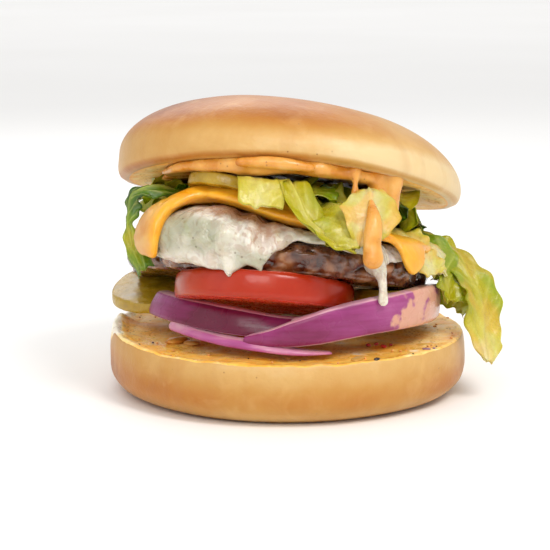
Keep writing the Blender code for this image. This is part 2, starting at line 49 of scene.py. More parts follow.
HEEL_RADIUS = 0.0576
HEEL_HEIGHT = 0.0193
CROWN_RADIUS = 0.0558
CROWN_DOME = 0.0196
CROWN_SLOPE = 0.040
CROWN_RIM = 0.0042
CUT_HEIGHT = 0.0342
CUT_DROOP = 0.0037
DOME_FOOT = 0.0388
DOME_DROOP = 0.0018
DROOP_REACH = 0.052
PATTY_RADIUS = 0.0480
PATTY_FOOT = 0.0006
PATTY_TOP = 0.0106
TOMATO_RADIUS = 0.0280
TOMATO_THICKNESS = 0.0086
PICKLE_THICKNESS = 0.0036
ONION_WALL = 0.0042
WHITE_THICKNESS = 0.0030
WHITE_HEAP = 0.0068
YELLOW_THICKNESS = 0.0024

# A leaf here is thinner than in the solids
LEAF_THICKNESS = 0.0006

# How many points lie round each body
HEEL_POINTS = 480
CROWN_POINTS = 420
PATTY_POINTS = 460
CHEESE_POINTS = 360
SAUCE_POINTS = 300
HEAP_POINTS = 160
WALL_POINTS = 40

# The stack's place and lean
STACK = (
    Matrix.Translation((-0.0036, 0.0, 0.0330))
    @ Matrix.Rotation(math.radians(4.5), 4, "Y")
    @ Matrix.Rotation(math.radians(-14.5), 4, "X")
)

# The bend of a cheese over the patty's shoulder
SHOULDER = 0.003
SHOULDER_START = PATTY_RADIUS + 0.0012 - SHOULDER
SHOULDER_END = SHOULDER_START + SHOULDER * math.pi / 2

# The camera of the photograph
CAMERA_PLACE = Vector((-0.004, -0.587, 0.143))
CAMERA_TARGET = Vector((-0.004, 0.0, 0.0365))
CAMERA_LENS = 120.49


# Shape helpers

def around(table, angle):
    """The value at an angle in degrees, eased between the entries of a closed table."""
    spots = sorted(table.items())
    for (first, low), (last, high) in zip(spots, spots[1:] + [(spots[0][0] + 360, spots[0][1])]):
        turn = (angle - first) % 360
        if turn <= last - first:
            ease = 0.5 - 0.5 * math.cos(math.pi * turn / (last - first))
            return low + (high - low) * ease
    return spots[0][1]


def mm(table):
    """A table by angle whose lengths are in millimetres, in metres."""
    return {angle: length / 1000 for angle, length in table.items()}


def path_mm(points):
    """Points in millimetres, in metres."""
    return [Vector([part / 1000 for part in point]) for point in points]


def along(values, share):
    """The value at a share of 0 to 1 along an evenly spaced list."""
    place = min(max(share, 0.0), 1.0) * (len(values) - 1)
    first = min(int(place), len(values) - 2)
    return values[first] + (values[first + 1] - values[first]) * (place - first)


def smooth_path(points, share):
    """A point on the smooth curve through the points."""
    place = min(max(share, 0.0), 1.0) * (len(points) - 1)
    first = min(int(place), len(points) - 2)
    t = place - first
    p1, p2 = points[first], points[first + 1]
    p0 = points[first - 1] if first else p1 * 2 - p2
    p3 = points[first + 2] if first + 2 < len(points) else p2 * 2 - p1
    return 0.5 * (p1 * 2 + (p2 - p0) * t + (p0 * 2 - p1 * 5 + p2 * 4 - p3) * t**2
                  + (p1 * 3 - p0 - p2 * 3 + p3) * t**3)


def uneven(angle, seed):
    """A soft unevenness from -1 to 1 that closes on itself round the circle."""
    turn = math.radians(angle)
    slow = math.sin(3 * turn + seed) + math.sin(5 * turn + 2.3 * seed)
    return (slow + 0.6 * math.sin(9 * turn + 4.1 * seed)) / 2.6


def bump(x, centre, width):
    return math.exp(-(((x - centre) / width) ** 2))


def rise(x, low, high):
    """Eases from 0 at low to 1 at high."""
    t = min(max((x - low) / (high - low), 0.0), 1.0)
    return t * t * (3 - 2 * t)


def turn_from(angle, centre):
    """The signed angle in degrees from centre to angle."""
    return (angle - centre + 180) % 360 - 180


def polar(radius, angle, height=0.0):
    turn = math.radians(angle)
    return Vector((radius * math.cos(turn), radius * math.sin(turn), height))


def rough(point, size, seed=0.0, octaves=3):
    """Fractal noise of about -1 to 1 whose largest lumps have a size in metres."""
    return noise.fractal(point / size + Vector((seed, -seed, 2 * seed)), 1.0, 2.0, octaves)


def spread(steps):
    """The even steps that a list of (value, count) pairs names, from each value up to the next."""
    out = []
    for (value, count), (following, _) in zip(steps, steps[1:]):
        out += [value + (following - value) * i / count for i in range(count)]
    return out + [steps[-1][0]]


def profile_levels(steps):
    """Levels of 0 to 1 down a profile, with a number of steps between each two of its points."""
    levels = []
    for segment, count in enumerate(steps):
        levels += [(segment + i / count) / len(steps) for i in range(count)]
    return levels + [1.0]


def on_profile(profile, level):
    """The shares of the radius and of the height at a level of a smooth profile."""
    spot = smooth_path([Vector((share, height, 0.0)) for share, height in profile], level)
    return max(spot.x, 0.0), spot.y


def squarish(value, power):
    """A sine or cosine pushed outwards by a power under 1, which squares a round section."""
    return math.copysign(abs(value) ** power, value)


def folded(shares, edge, spots):
    """The levels of a flat body: out over its top, round its edge and back underneath."""
    turns = (("over", shares), (edge, spots), ("under", reversed(shares)))
    return [(kind, spot) for kind, stops in turns for spot in stops]


def add_mesh(name, points, faces, finish, tilt=None, marks=None):
    mesh = bpy.data.meshes.new(name)
    mesh.from_pydata(points, [], faces)
    if tilt:
        mesh.transform(tilt)
    for mark, values in (marks or {}).items():
        mesh.attributes.new(mark, "FLOAT", "POINT").data.foreach_set("value", values)
    if finish:
        mesh.materials.append(finish)
    mesh.shade_smooth()
    thing = bpy.data.objects.new(name, mesh)
    bpy.context.scene.collection.objects.link(thing)
    return thing


def round_mesh(levels, count, place):
    """Points and faces of a closed body of rings, whose ends are single points."""
    angles = [360 * i / count for i in range(count)]
    points = [place(levels[0], 0.0)]
    points += [place(level, angle) for level in levels[1:-1] for angle in angles]
    points.append(place(levels[-1], 0.0))
    faces = []
    last = len(points) - 1
    for i in range(count):
        j = (i + 1) % count
        faces.append((0, 1 + i, 1 + j))
        faces.append((last, last - count + j, last - count + i))
        for row in range(len(levels) - 3):
            base = 1 + row * count
            faces.append((base + i, base + count + i, base + count + j, base + j))
    return points, faces


def sleeve(rows, sides):
    """Faces of a tube of rows of points, open at both ends."""
    faces = []
    for here in range(0, (rows - 1) * sides, sides):
        after = here + sides
        for i in range(sides):
            j = (i + 1) % sides
            faces.append((here + i, here + j, after + j, after + i))
    return faces


def tube_mesh(points, radii, sides=14, rows=26):
    """A tapering drip along a smooth curve, with round ends."""
    centres = []
    for row in range(rows):
        share = row / (rows - 1)
        ahead = smooth_path(points, min(share + 0.02, 1.0)) - smooth_path(points, max(share - 0.02, 0.0))
        centres.append((smooth_path(points, share), ahead.normalized(), along(radii, share)))
    for end, sign in ((0, -1), (-1, 1)):
        centre, ahead, radius = centres[end]
        extra = [
            (centre + ahead * sign * radius * math.sin(bend), ahead, radius * math.cos(bend))
            for bend in (0.5, 0.95, 1.3)
        ]
        centres = extra[::-1] + centres if sign < 0 else centres + extra
    out = []
    for centre, ahead, radius in centres:
        side = ahead.cross(Vector((0.3, 1.0, 0.1))).normalized()
        front = ahead.cross(side)
        for i in range(sides):
            turn = 2 * math.pi * i / sides
            out.append(centre + (side * math.cos(turn) + front * math.sin(turn)) * radius)
    caps = [tuple(range(sides))[::-1], tuple(range(len(out) - sides, len(out)))]
    return out, sleeve(len(centres), sides) + caps


def drip_meshes(drips):
    """Drips whose points along the middle and radii are in millimetres."""
    return [tube_mesh(path_mm(points), [radius / 1000 for radius in radii]) for points, radii in drips]


def joined(parts):
    """One (points, faces) of several."""
    points = []
    faces = []
    for more_points, more_faces in parts:
        start = len(points)
        points += more_points
        faces += [tuple(start + i for i in face) for face in more_faces]
    return points, faces


def melted(name, parts, finish, soften, voxel=0.0006):
    """Closed shapes of the stack melted into one smooth skin, made of cubes of a voxel's size."""
    points, faces = joined(parts)
    thing = add_mesh(name, points, faces, finish)
    remesh = thing.modifiers.new("melt", "REMESH")
    remesh.mode = "VOXEL"
    remesh.voxel_size = voxel
    smooth = thing.modifiers.new("soften", "SMOOTH")
    smooth.factor = 0.5
    smooth.iterations = soften
    bpy.context.view_layer.update()
    baked = bpy.data.meshes.new_from_object(thing.evaluated_get(bpy.context.evaluated_depsgraph_get()))
    thing.modifiers.clear()
    thing.data = baked
    baked.materials.clear()
    baked.materials.append(finish)
    baked.transform(STACK)
    baked.shade_smooth()
    return thing


def mark_points(thing, name, value):
    """Gives each point of the object a named mark, worked out from its place in the stack."""
    back = STACK.inverted()
    values = [value(back @ vert.co) for vert in thing.data.vertices]
    thing.data.attributes.new(name, "FLOAT", "POINT").data.foreach_set("value", values)


# Material helpers

def srgb(red, green, blue):
    """The linear colour of a screen colour of 0 to 255."""
    def linear(value):
        share = value / 255
        return share / 12.92 if share <= 0.04045 else ((share + 0.055) / 1.055) ** 2.4
    return (linear(red), linear(green), linear(blue), 1.0)


class Look:
    """A Principled material built from procedural nodes."""

    def __init__(self, name, gloss, scatter=None, coat=None):
        """scatter holds the weight, scale and radius of light inside. coat holds a weight and roughness."""
        self.material = bpy.data.materials.new(name)
        self.material.use_nodes = True
        self.nodes = self.material.node_tree.nodes
        self.links = self.material.node_tree.links
        self.shader = self.nodes["Principled BSDF"]
        self.place = self.nodes.new("ShaderNodeTexCoord").outputs["Object"]
        self.relief = None
        values = {"Specular IOR Level": gloss}
        if scatter:
            values.update(zip(("Subsurface Weight", "Subsurface Scale", "Subsurface Radius"), scatter))
        if coat:
            values.update(zip(("Coat Weight", "Coat Roughness"), coat))
        for socket, value in values.items():
            self.shader.inputs[socket].default_value = value

    def feed(self, socket, value):
        if isinstance(value, bpy.types.NodeSocket):
            self.links.new(value, socket)
        else:
            socket.default_value = value

    def noise(self, size, detail=3.0, stretch=None, distortion=0.0):
        """Noise of 0 to 1 whose lumps have a size in metres."""
        place = self.place
        if stretch:
            mapping = self.nodes.new("ShaderNodeMapping")
            self.links.new(place, mapping.inputs["Vector"])
            mapping.inputs["Scale"].default_value = stretch
            place = mapping.outputs["Vector"]
        node = self.nodes.new("ShaderNodeTexNoise")
        self.links.new(place, node.inputs["Vector"])
        node.inputs["Scale"].default_value = 1 / size
        node.inputs["Detail"].default_value = detail
        node.inputs["Distortion"].default_value = distortion
        return node.outputs["Fac"]

    def cells(self, size):
        """The distance to the nearest of scattered spots that lie about a size in metres apart."""
        node = self.nodes.new("ShaderNodeTexVoronoi")
        self.links.new(self.place, node.inputs["Vector"])
        node.inputs["Scale"].default_value = 1 / size
        return node.outputs["Distance"]

    def mark(self, name):
        node = self.nodes.new("ShaderNodeAttribute")
        node.attribute_name = name
        return node.outputs["Fac"]

    def calc(self, operation, first, second):
        node = self.nodes.new("ShaderNodeMath")
        node.operation = operation
        self.feed(node.inputs[0], first)
        self.feed(node.inputs[1], second)
        return node.outputs[0]

    def times(self, first, second):
        return self.calc("MULTIPLY", first, second)

    def sway(self, value, noise, amount):
        """A value that noise moves up and down by a share of an amount."""
        return self.calc("ADD", value, self.times(self.calc("SUBTRACT", noise, 0.5), amount))

    def between(self, value, low, high, to_low=0.0, to_high=1.0):
        """Maps low to high smoothly onto to_low to to_high."""
        node = self.nodes.new("ShaderNodeMapRange")
        node.interpolation_type = "SMOOTHSTEP"
        self.feed(node.inputs["Value"], value)
        node.inputs["From Min"].default_value = low
        node.inputs["From Max"].default_value = high
        node.inputs["To Min"].default_value = to_low
        node.inputs["To Max"].default_value = to_high
        return node.outputs["Result"]

    def ramp(self, value, *stops):
        """Screen colours of 0 to 255 at their spots of 0 to 1."""
        return self.shades(value, [(spot, srgb(*screen)) for spot, *screen in stops])

    def shades(self, value, stops):
        node = self.nodes.new("ShaderNodeValToRGB")
        ramp = node.color_ramp
        while len(ramp.elements) < len(stops):
            ramp.elements.new(0.5)
        for element, (spot, colour) in zip(ramp.elements, stops):
            element.position = spot
            element.color = colour
        self.feed(node.inputs["Fac"], value)
        return node.outputs["Color"]

    def mix(self, share, first, second):
        node = self.nodes.new("ShaderNodeMix")
        node.data_type = "RGBA"
        self.feed(node.inputs["Factor"], share)
        self.feed(node.inputs[6], first)
        self.feed(node.inputs[7], second)
        return node.outputs[2]

    def level(self, share, first, second):
        """A number between two others."""
        node = self.nodes.new("ShaderNodeMix")
        self.feed(node.inputs[0], share)
        self.feed(node.inputs[2], first)
        self.feed(node.inputs[3], second)
        return node.outputs[0]

    def raise_by(self, height, depth):
        """Adds a relief whose height of 0 to 1 is a depth in metres."""
        node = self.nodes.new("ShaderNodeBump")
        node.inputs["Strength"].default_value = 1.0
        node.inputs["Distance"].default_value = depth
        self.links.new(height, node.inputs["Height"])
        if self.relief:
            self.links.new(self.relief, node.inputs["Normal"])
        self.relief = node.outputs["Normal"]

    def finish(self, colour, roughness=None):
        self.feed(self.shader.inputs["Base Color"], colour)
        if roughness is not None:
            self.feed(self.shader.inputs["Roughness"], roughness)
        if self.relief:
            self.links.new(self.relief, self.shader.inputs["Normal"])
        return self.material


# Materials

def crust_look():
    """Baked bun: brown dome, golden middle, cream near the cut. The crumb shows where it was cut."""
    look = Look("crust", 0.34, (0.12, 0.004, (1.0, 0.5, 0.25)), (0.10, 0.35))
    bake = look.mark("bake")
    cloudy = look.noise(0.022, 4.0)
    mottle = look.noise(0.0042, 4.0)
    fine = look.noise(0.0009, 3.0)
    tone = look.sway(bake, cloudy, 0.42)
    tone = look.sway(tone, mottle, 0.14)
    crust = look.ramp(tone,
        (0.0, 218, 191, 142), (0.22, 203, 160, 94), (0.45, 189, 137, 64),
        (0.68, 177, 112, 36), (0.88, 156, 88, 24), (1.0, 124, 62, 18),
    )
    pores = look.between(look.cells(0.0052), 0.030, 0.062, 1.0, 0.0)
    pores = look.times(pores, look.between(look.noise(0.012, 2.0), 0.44, 0.56))
    crust = look.mix(look.times(pores, 0.62), crust, srgb(112, 56, 20))
    pale_spots = look.between(look.noise(0.0085, 3.0, None, 0.8), 0.48, 0.80, 0.0, 0.22)
    crust = look.mix(pale_spots, crust, srgb(226, 184, 120))
    streaks = look.noise(0.007, 3.0, (1.0, 1.0, 0.12))
    crust = look.mix(look.between(streaks, 0.50, 0.75, 0.0, 0.22), crust, srgb(176, 118, 58))
    crumb_tone = look.sway(look.mark("toast"), mottle, 0.55)
    crumb = look.ramp(crumb_tone,
        (0.0, 255, 246, 226), (0.18, 255, 220, 140), (0.45, 252, 186, 72), (0.8, 226, 142, 40),
        (1.0, 160, 86, 24),
    )
    holes = look.between(look.cells(0.0015), 0.16, 0.34, 1.0, 0.0)
    holes = look.times(holes, look.between(look.noise(0.006, 2.0), 0.36, 0.56))
    crumb = look.mix(look.times(holes, 0.46), crumb, srgb(150, 84, 28))
    film = look.sway(look.mark("film"), mottle, 0.9)
    film = look.between(film, 0.30, 0.46)
    film_colour = look.ramp(look.noise(0.004, 3.0), (0.3, 240, 160, 40), (0.7, 255, 208, 96))
    crumb = look.mix(look.times(film, 0.85), crumb, film_colour)
    cut = look.between(look.mark("cut"), 0.35, 0.65)
    colour = look.mix(cut, crust, crumb)
    crumb_relief = look.calc("SUBTRACT", look.noise(0.0016, 4.0), look.times(holes, 0.8))
    dry = look.times(cut, look.between(film, 0.0, 1.0, 1.0, 0.25))
    look.raise_by(look.times(crumb_relief, dry), 0.0003)
    look.raise_by(look.calc("ADD", fine, look.times(pores, -1.5)), 0.00010)
    look.raise_by(mottle, 0.00022)
    wet = look.between(look.noise(0.006, 3.0), 0.35, 0.65, 0.42, 0.70)
    wet = look.level(film, wet, 0.26)
    roughness = look.level(cut, look.between(cloudy, 0.2, 0.8, 0.34, 0.48), wet)
    return look.finish(colour, roughness)


def onion_look():
    """Red onion: purple skin with fine lines along it, pale pink where it was cut and inside."""
    look = Look("onion", 0.32, (0.18, 0.003, (1.0, 0.35, 0.8)), (0.15, 0.16))
    cloud = look.noise(0.010, 3.0)
    lines = look.noise(0.0012, 2.0, (0.10, 0.10, 1.0))
    tone = look.sway(look.mark("depth"), cloud, 0.5)
    tone = look.sway(tone, lines, 0.35)
    skin = look.ramp(tone,
        (0.0, 200, 152, 160), (0.13, 190, 124, 152), (0.28, 168, 82, 136), (0.5, 145, 54, 112),
        (0.75, 122, 31, 80), (1.0, 98, 12, 48),
    )
    flesh = look.ramp(look.calc("ADD", cloud, look.times(lines, 0.3)),
        (0.3, 236, 208, 206), (0.75, 205, 150, 170),
    )
    colour = look.mix(look.mark("flesh"), skin, flesh)
    patches = look.noise(0.0065, 4.0)
    smear = look.sway(look.mark("smear"), patches, 1.8)
    colour = look.mix(look.between(smear, 0.42, 0.62, 0.0, 0.85), colour, srgb(212, 160, 128))
    look.raise_by(lines, 0.00012)
    look.raise_by(cloud, 0.0004)
    return look.finish(colour, look.between(cloud, 0.3, 0.7, 0.20, 0.38))


def tomato_look():
    """Tomato: a shiny orange-red skin round a wet, deeper red cut face with pulp."""
    look = Look("tomato", 0.35, (0.25, 0.004, (1.0, 0.2, 0.1)), (0.10, 0.10))
    cloud = look.noise(0.012, 3.0)
    fine = look.noise(0.0013, 3.0)
    pale = look.mark("pale")
    skin = look.ramp(look.sway(pale, cloud, 0.4),
        (0.0, 166, 38, 8), (0.4, 175, 56, 17), (1.0, 152, 80, 46),
    )
    pulp = look.noise(0.0045, 4.0, None, 1.2)
    flesh = look.ramp(pulp, (0.25, 185, 33, 10), (0.5, 203, 54, 18), (0.75, 216, 92, 45))
    flesh_share = look.mark("flesh")
    colour = look.mix(flesh_share, skin, flesh)
    look.raise_by(look.times(pulp, flesh_share), 0.0012)
    look.raise_by(fine, 0.00006)
    return look.finish(colour, look.level(flesh_share, 0.24, look.between(fine, 0.3, 0.7, 0.12, 0.4)))


def pickle_look():
    """Pickled cucumber: olive, darker skin, a wet face with a watery middle."""
    look = Look("pickle", 0.4, (0.3, 0.003, (0.8, 1.0, 0.3)), (0.15, 0.12))
    cloud = look.noise(0.006, 4.0)
    face = look.ramp(cloud, (0.25, 146, 114, 14), (0.55, 182, 146, 26), (0.8, 200, 168, 46))
    skin = look.ramp(cloud, (0.3, 150, 117, 24), (0.7, 184, 153, 50))
    colour = look.mix(look.mark("flesh"), skin, face)
    look.raise_by(look.noise(0.0015, 3.0), 0.0003)
    return look.finish(colour, look.between(cloud, 0.3, 0.7, 0.16, 0.34))


def beef_look():
    """Seared minced beef: brown lumps, darker and redder down into the cracks, whose near black is painted
    shade, with melted fat on top.
    """
    look = Look("beef", 0.6, (0.05, 0.002, (1.0, 0.2, 0.1)), (0.75, 0.12))
    crag = look.mark("crag")
    mottle = look.noise(0.0036, 3.0)
    tone = look.sway(crag, mottle, 0.7)
    meat = look.ramp(tone,
        (0.0, 26, 8, 3), (0.3, 62, 26, 10), (0.55, 100, 52, 24),
        (0.8, 138, 86, 46), (1.0, 178, 130, 86),
    )
    look.raise_by(look.noise(0.0034, 2.0), 0.0008)
    return look.finish(meat, look.between(mottle, 0.35, 0.65, 0.14, 0.46))


def white_cheese_look():
    """Melted white cheese: greenish cream, slightly clear, with herb specks and faint creases."""
    look = Look("white cheese", 0.5, (0.45, 0.004, (1.0, 0.9, 0.5)), (0.3, 0.18))
    cloud = look.noise(0.009, 4.0, None, 0.6)
    tone = look.sway(look.mark("pink"), cloud, 0.9)
    colour = look.ramp(tone,
        (0.0, 164, 163, 138), (0.3, 196, 191, 172), (0.55, 222, 215, 202), (1.0, 160, 120, 92),
    )
    green = look.between(look.noise(0.007, 3.0, None, 1.0), 0.54, 0.70)
    colour = look.mix(look.times(green, 0.30), colour, srgb(142, 147, 91))
    meaty = look.times(look.between(look.noise(0.0032, 3.0, None, 1.2), 0.47, 0.60), look.mark("pink"))
    colour = look.mix(look.times(meaty, 0.75), colour, srgb(169, 125, 100))
    specks = look.between(look.cells(0.0030), 0.09, 0.15, 1.0, 0.0)
    specks = look.times(specks, look.between(look.noise(0.008, 1.0), 0.50, 0.60))
    colour = look.mix(look.times(specks, 0.5), colour, srgb(91, 68, 41))
    look.raise_by(look.noise(0.0045, 3.0, None, 0.8), 0.0014)
    return look.finish(colour, look.between(cloud, 0.3, 0.7, 0.16, 0.36))


def yellow_cheese_look():
    """Melted yellow cheese: deep amber, peach where sauce coats it."""
    look = Look("yellow cheese", 0.45, (0.35, 0.003, (1.0, 0.6, 0.15)), (0.35, 0.18))
    cloud = look.noise(0.010, 3.0)
    cheese = look.ramp(cloud, (0.3, 222, 146, 16), (0.55, 234, 168, 34), (0.8, 238, 188, 66))
    coat = look.ramp(look.noise(0.006, 3.0), (0.3, 200, 128, 52), (0.7, 214, 167, 102))
    colour = look.mix(look.mark("coated"), cheese, coat)
    look.raise_by(look.noise(0.0045, 2.0), 0.0005)
    return look.finish(colour, look.between(cloud, 0.3, 0.7, 0.26, 0.42))


def sauce_look(name, pale=0.0):
    """Thick burger sauce: glossy orange with paler clouds, and fine specks."""
    look = Look(name, 0.45, (0.35, 0.003, (1.0, 0.55, 0.2)), (0.15, 0.15))
    cloud = look.calc("ADD", look.noise(0.007, 4.0), pale)
    colour = look.ramp(cloud,
        (0.15, 164, 92, 16), (0.38, 198, 126, 36), (0.60, 218, 158, 72), (1.0, 230, 200, 140),
    )
    specks = look.between(look.cells(0.0030), 0.08, 0.13, 1.0, 0.0)
    colour = look.mix(look.times(specks, 0.55), colour, srgb(136, 67, 18))
    look.raise_by(look.noise(0.0050, 2.0), 0.0006)
    return look.finish(colour, look.between(cloud, 0.3, 0.7, 0.20, 0.38))


def lettuce_look():
    """Lettuce: from pale rib to dark green edge, with light veins and a wet shine."""
    look = Look("lettuce", 0.4, (0.30, 0.002, (0.7, 1.0, 0.25)), (0.15, 0.20))
    cloud = look.noise(0.0065, 4.0)
    tone = look.sway(look.mark("tone"), cloud, 0.38)
    leaf = look.ramp(tone,
        (0.0, 204, 198, 152), (0.14, 199, 189, 122), (0.26, 190, 176, 62), (0.45, 166, 156, 8),
        (0.68, 122, 143, 6), (0.86, 74, 108, 8), (1.0, 38, 68, 8),
    )
    veins = look.mark("vein")
    colour = look.mix(look.times(veins, 0.42), leaf, srgb(211, 206, 116))
    colour = look.mix(look.mark("sauced"), colour, srgb(218, 155, 63))
    look.raise_by(look.noise(0.0026, 4.0), 0.0007)
    return look.finish(colour, look.between(cloud, 0.3, 0.7, 0.26, 0.46))


def plain_look(name, colour, roughness, clear=0.0):
    """A small wet thing: one tint, broken up by fine noise."""
    look = Look(name, 0.5, coat=(clear, 0.03))
    light = tuple(min(1.0, part * 1.5) for part in colour[:3]) + (1.0,)
    dark = tuple(part * 0.6 for part in colour[:3]) + (1.0,)
    tint = look.shades(look.noise(0.0015, 3.0), [(0.3, dark), (0.7, light)])
    look.raise_by(look.noise(0.0006, 3.0), 0.0002)
    return look.finish(tint, roughness)


# Bun

HEEL_PROFILE = [
    (0.0, 0.975), (0.45, 0.975), (0.78, 0.985), (0.92, 0.99), (0.975, 1.0), (0.993, 0.90), (1.0, 0.66),
    (0.998, 0.42), (0.978, 0.25), (0.93, 0.11), (0.87, 0.03), (0.80, 0.0), (0.45, 0.0), (0.0, 0.0),
]
HEEL_STEPS = [6, 14, 16, 10, 6, 7, 7, 6, 6, 5, 4, 6, 3]
HEEL_CUT_END = 0.36


def make_heel(finish):
    """The lower bun: crust round the side, toasted and torn crumb on the cut."""
    levels = profile_levels(HEEL_STEPS)
    marks = defaultdict(list)

    def place(level, angle):
        share, height = on_profile(HEEL_PROFILE, level)
        radius = share * HEEL_RADIUS * (1 + 0.008 * uneven(angle, 1.7))
        puff = 0.0022 * bump(turn_from(angle, 178), 0, 26) * bump(share, 0.965, 0.06) * (height > 0.5)
        inside = rise(share, 0.25, 0.35) * (1 - rise(share, 0.94, 0.97))
        dip = 0.0004 * uneven(angle * 2, 0.6) * inside * (height > 0.9)
        point = polar(radius, angle, height * HEEL_HEIGHT + puff + dip)
        top = rise(height, 0.93, 0.97) * (level < HEEL_CUT_END)
        edge = bump(share, 0.95, 0.06)
        left = bump(turn_from(angle, 180), 0, 22)
        torn = 0.00022 * rough(point, 0.0060, 3.0) + 0.00007 * rough(point, 0.0014, 7.0, 2)
        point.z += top * torn * (1 + 0.8 * edge + 3.0 * left * edge)
        side = rise(height, 0.05, 0.2) * (1 - top)
        out = polar(1.0, angle)
        point += out * side * (0.00028 * rough(point, 0.016, 9.0, 2) + 0.00007 * rough(point, 0.004, 1.0, 2))
        point.z = max(point.z, 0.0)
        # side_left makes the left side browner, which is partly painted shade on the side turned from the
        # light.
        side_left = bump(turn_from(angle, 190), 0, 55)
        side_right = bump(turn_from(angle, -35), 0, 30)
        middle = bump(height, 0.42, 0.30)
        patch = 0.5 + 0.5 * rough(point, 0.024, 4.0, 2)
        ragged = 0.40 * rough(point, 0.009, 5.0) + 0.10 * uneven(angle * 5, 1.3)
        tear = 0.9 * rise(left + 0.9 * height + ragged, 1.42, 1.62)
        marks["cut"].append(1.0 if share < 0.984 and level < HEEL_CUT_END else tear)
        marks["bake"].append(
            0.10 + (0.26 + 0.24 * patch) * middle + 0.34 * side_left + 0.16 * side_right
            + 0.30 * rise(0.14 - height, 0.0, 0.14)
        )
        marks["toast"].append(
            0.30 + 0.26 * rough(point, 0.011, 2.0) + 0.16 * side_left * (share < 0.93)
            - 0.34 * left * rise(share, 0.90, 0.96) + 0.16 * left * rise(0.9 - height, 0.0, 0.25)
            - 0.14 * bump(share, 0.97, 0.02) * patch
        )
        marks["film"].append(
            0.82 * bump(turn_from(angle, -88), 0, 44) * bump(share, 0.91, 0.14)
            + 0.40 * bump(turn_from(angle, -150), 0, 30) * bump(share, 0.80, 0.12)
            + 0.30 * bump(turn_from(angle, -30), 0, 30) * bump(share, 0.85, 0.10)
        )
        return point

    points, faces = round_mesh(levels, HEEL_POINTS, place)
    heel = add_mesh("bun_heel_baked", points, faces, finish, None, marks)
    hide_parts("bun_heel")
    return heel


def crown_cut(x):
    """The height in the stack of the upper bun's cut face, whose left and right edges droop."""
    return CUT_HEIGHT - CUT_DROOP * (x / DROOP_REACH) ** 2


def make_crown(finish):
    """The upper bun: a smooth baked dome over a cut crumb face."""
    dome = spread([
        (0.0, 8), (0.28, 10), (0.5, 12), (0.68, 12), (0.82, 10), (0.92, 8), (0.975, 6), (0.9995, 0),
    ])
    rim = [
        (1.0, CROWN_RIM), (0.9975, 0.0031), (0.993, 0.0022), (0.984, 0.0013), (0.968, 0.0007),
        (0.955, 0.0002), (0.94, 0.0),
    ]
    cut = spread([(0.92, 14), (0.72, 10), (0.36, 4), (0.0, 0)])
    levels = [(kind, spot) for kind, spots in (("dome", dome), ("rim", rim), ("cut", cut)) for spot in spots]
    marks = defaultdict(list)

    def place(level, angle):
        kind, spot = level
        share = spot[0] if kind == "rim" else spot
        radius = share * CROWN_RADIUS * (1 + 0.010 * uneven(angle, 3.1))
        point = polar(radius, angle) + Vector((0.0015, -0.0005, 0.0))
        if kind == "dome":
            lift = CROWN_DOME * (1 - share**2.8) ** (1 / 1.9)
            point.z = DOME_FOOT - DOME_DROOP * (point.x / DROOP_REACH) ** 2 + lift - CROWN_SLOPE * point.x
            height = lift / CROWN_DOME
            point.z += 0.0004 * rough(point, 0.030, 4.0, 2) * height
        else:
            point.z = crown_cut(point.x) + (spot[1] if kind == "rim" else 0.0)
            height = (spot[1] - CROWN_RIM) / CROWN_RIM * 0.25 if kind == "rim" else 0.0
        if kind == "cut":
            point.z += 0.0003 * rough(point, 0.006, 6.0) * (share < 0.9)
        # Browner on the left and paler towards the right: partly the bake, partly painted shade on the left
        # and painted light on the right.
        right = rise(point.x, -0.005, 0.048)
        patch = 0.5 + 0.5 * rough(point, 0.030, 6.0, 2)
        brown = 0.22 + (0.42 + 0.26 * patch) * rise(height, 0.0, 0.50)
        brown += 0.10 * rise(-point.x, 0.0, 0.05) - 0.41 * right
        marks["bake"].append(brown + 0.42 * bump(height, -0.20, 0.05))
        marks["cut"].append(1.0 if kind == "cut" else 0.0)
        marks["toast"].append(0.30 + 0.16 * rough(point, 0.012, 8.0) + 0.55 * bump(share, 0.935, 0.012))
        marks["film"].append(0.0)
        return point

    points, faces = round_mesh(levels, CROWN_POINTS, place)
    crown = add_mesh("bun_crown_baked", points, faces, finish, STACK, marks)
    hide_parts("bun_crown")
    return crown


# Onion, tomato and pickles

def no_smear(angle):
    return 0.0


def level_around(table, angle):
    """The table's value at an angle, evened out so that the edge has no steps."""
    return sum(around(table, angle + turn) for turn in (-9, -6, -3, 0, 3, 6, 9)) / 7


def onion_ring(name, node, centre, radius, lean, ends, foot, brim, depth, finish, seed, smear=no_smear,
               taper=0.0):
    """An open ring cut from an onion: a curved wall whose two cut faces and inside are pale."""
    start, end = ends
    steps = max(24, int((end - start) * 1.4))
    points = []
    marks = defaultdict(list)
    for step in range(steps + 1):
        angle = start + (end - start) * step / steps
        low, high = level_around(foot, angle), level_around(brim, angle)
        middle, half = (low + high) / 2, (high - low) / 2
        pinch = 1.0 - 0.12 * max(bump(step, 0, 1.2), bump(step, steps, 1.2))
        pinch -= taper * bump(step, steps, 0.16 * steps)
        for i in range(WALL_POINTS):
            turn = 2 * math.pi * i / WALL_POINTS
            across, up = squarish(math.cos(turn), 0.28), squarish(math.sin(turn), 0.28)
            belly = 0.0006 * (1 - up * up)
            wall = ONION_WALL / 2 * pinch
            r = radius - lean * (up + 1) / 2 - ONION_WALL / 2 + across * wall + belly
            z = middle + up * half * pinch
            point = polar(r, angle, z) + Vector((centre[0], centre[1], 0.0))
            wobble = 0.00014 * rough(point, 0.014, seed, 2)
            point += polar(wobble, angle)
            points.append(point)
            marks["flesh"].append(max(rise(abs(up), 0.90, 0.97), 0.7 * rise(-across, 0.3, 0.8)))
            marks["depth"].append(depth(angle) + 0.10 * (1 - up))
            marks["smear"].append(smear(angle))
    faces = [(first, *others[::-1]) for first, *others in sleeve(steps + 1, WALL_POINTS)]
    faces += [tuple(range(WALL_POINTS)), tuple(range(len(points) - WALL_POINTS, len(points)))[::-1]]
    ring = add_mesh(name, points, faces, finish, None, marks)
    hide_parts(node)
    return ring


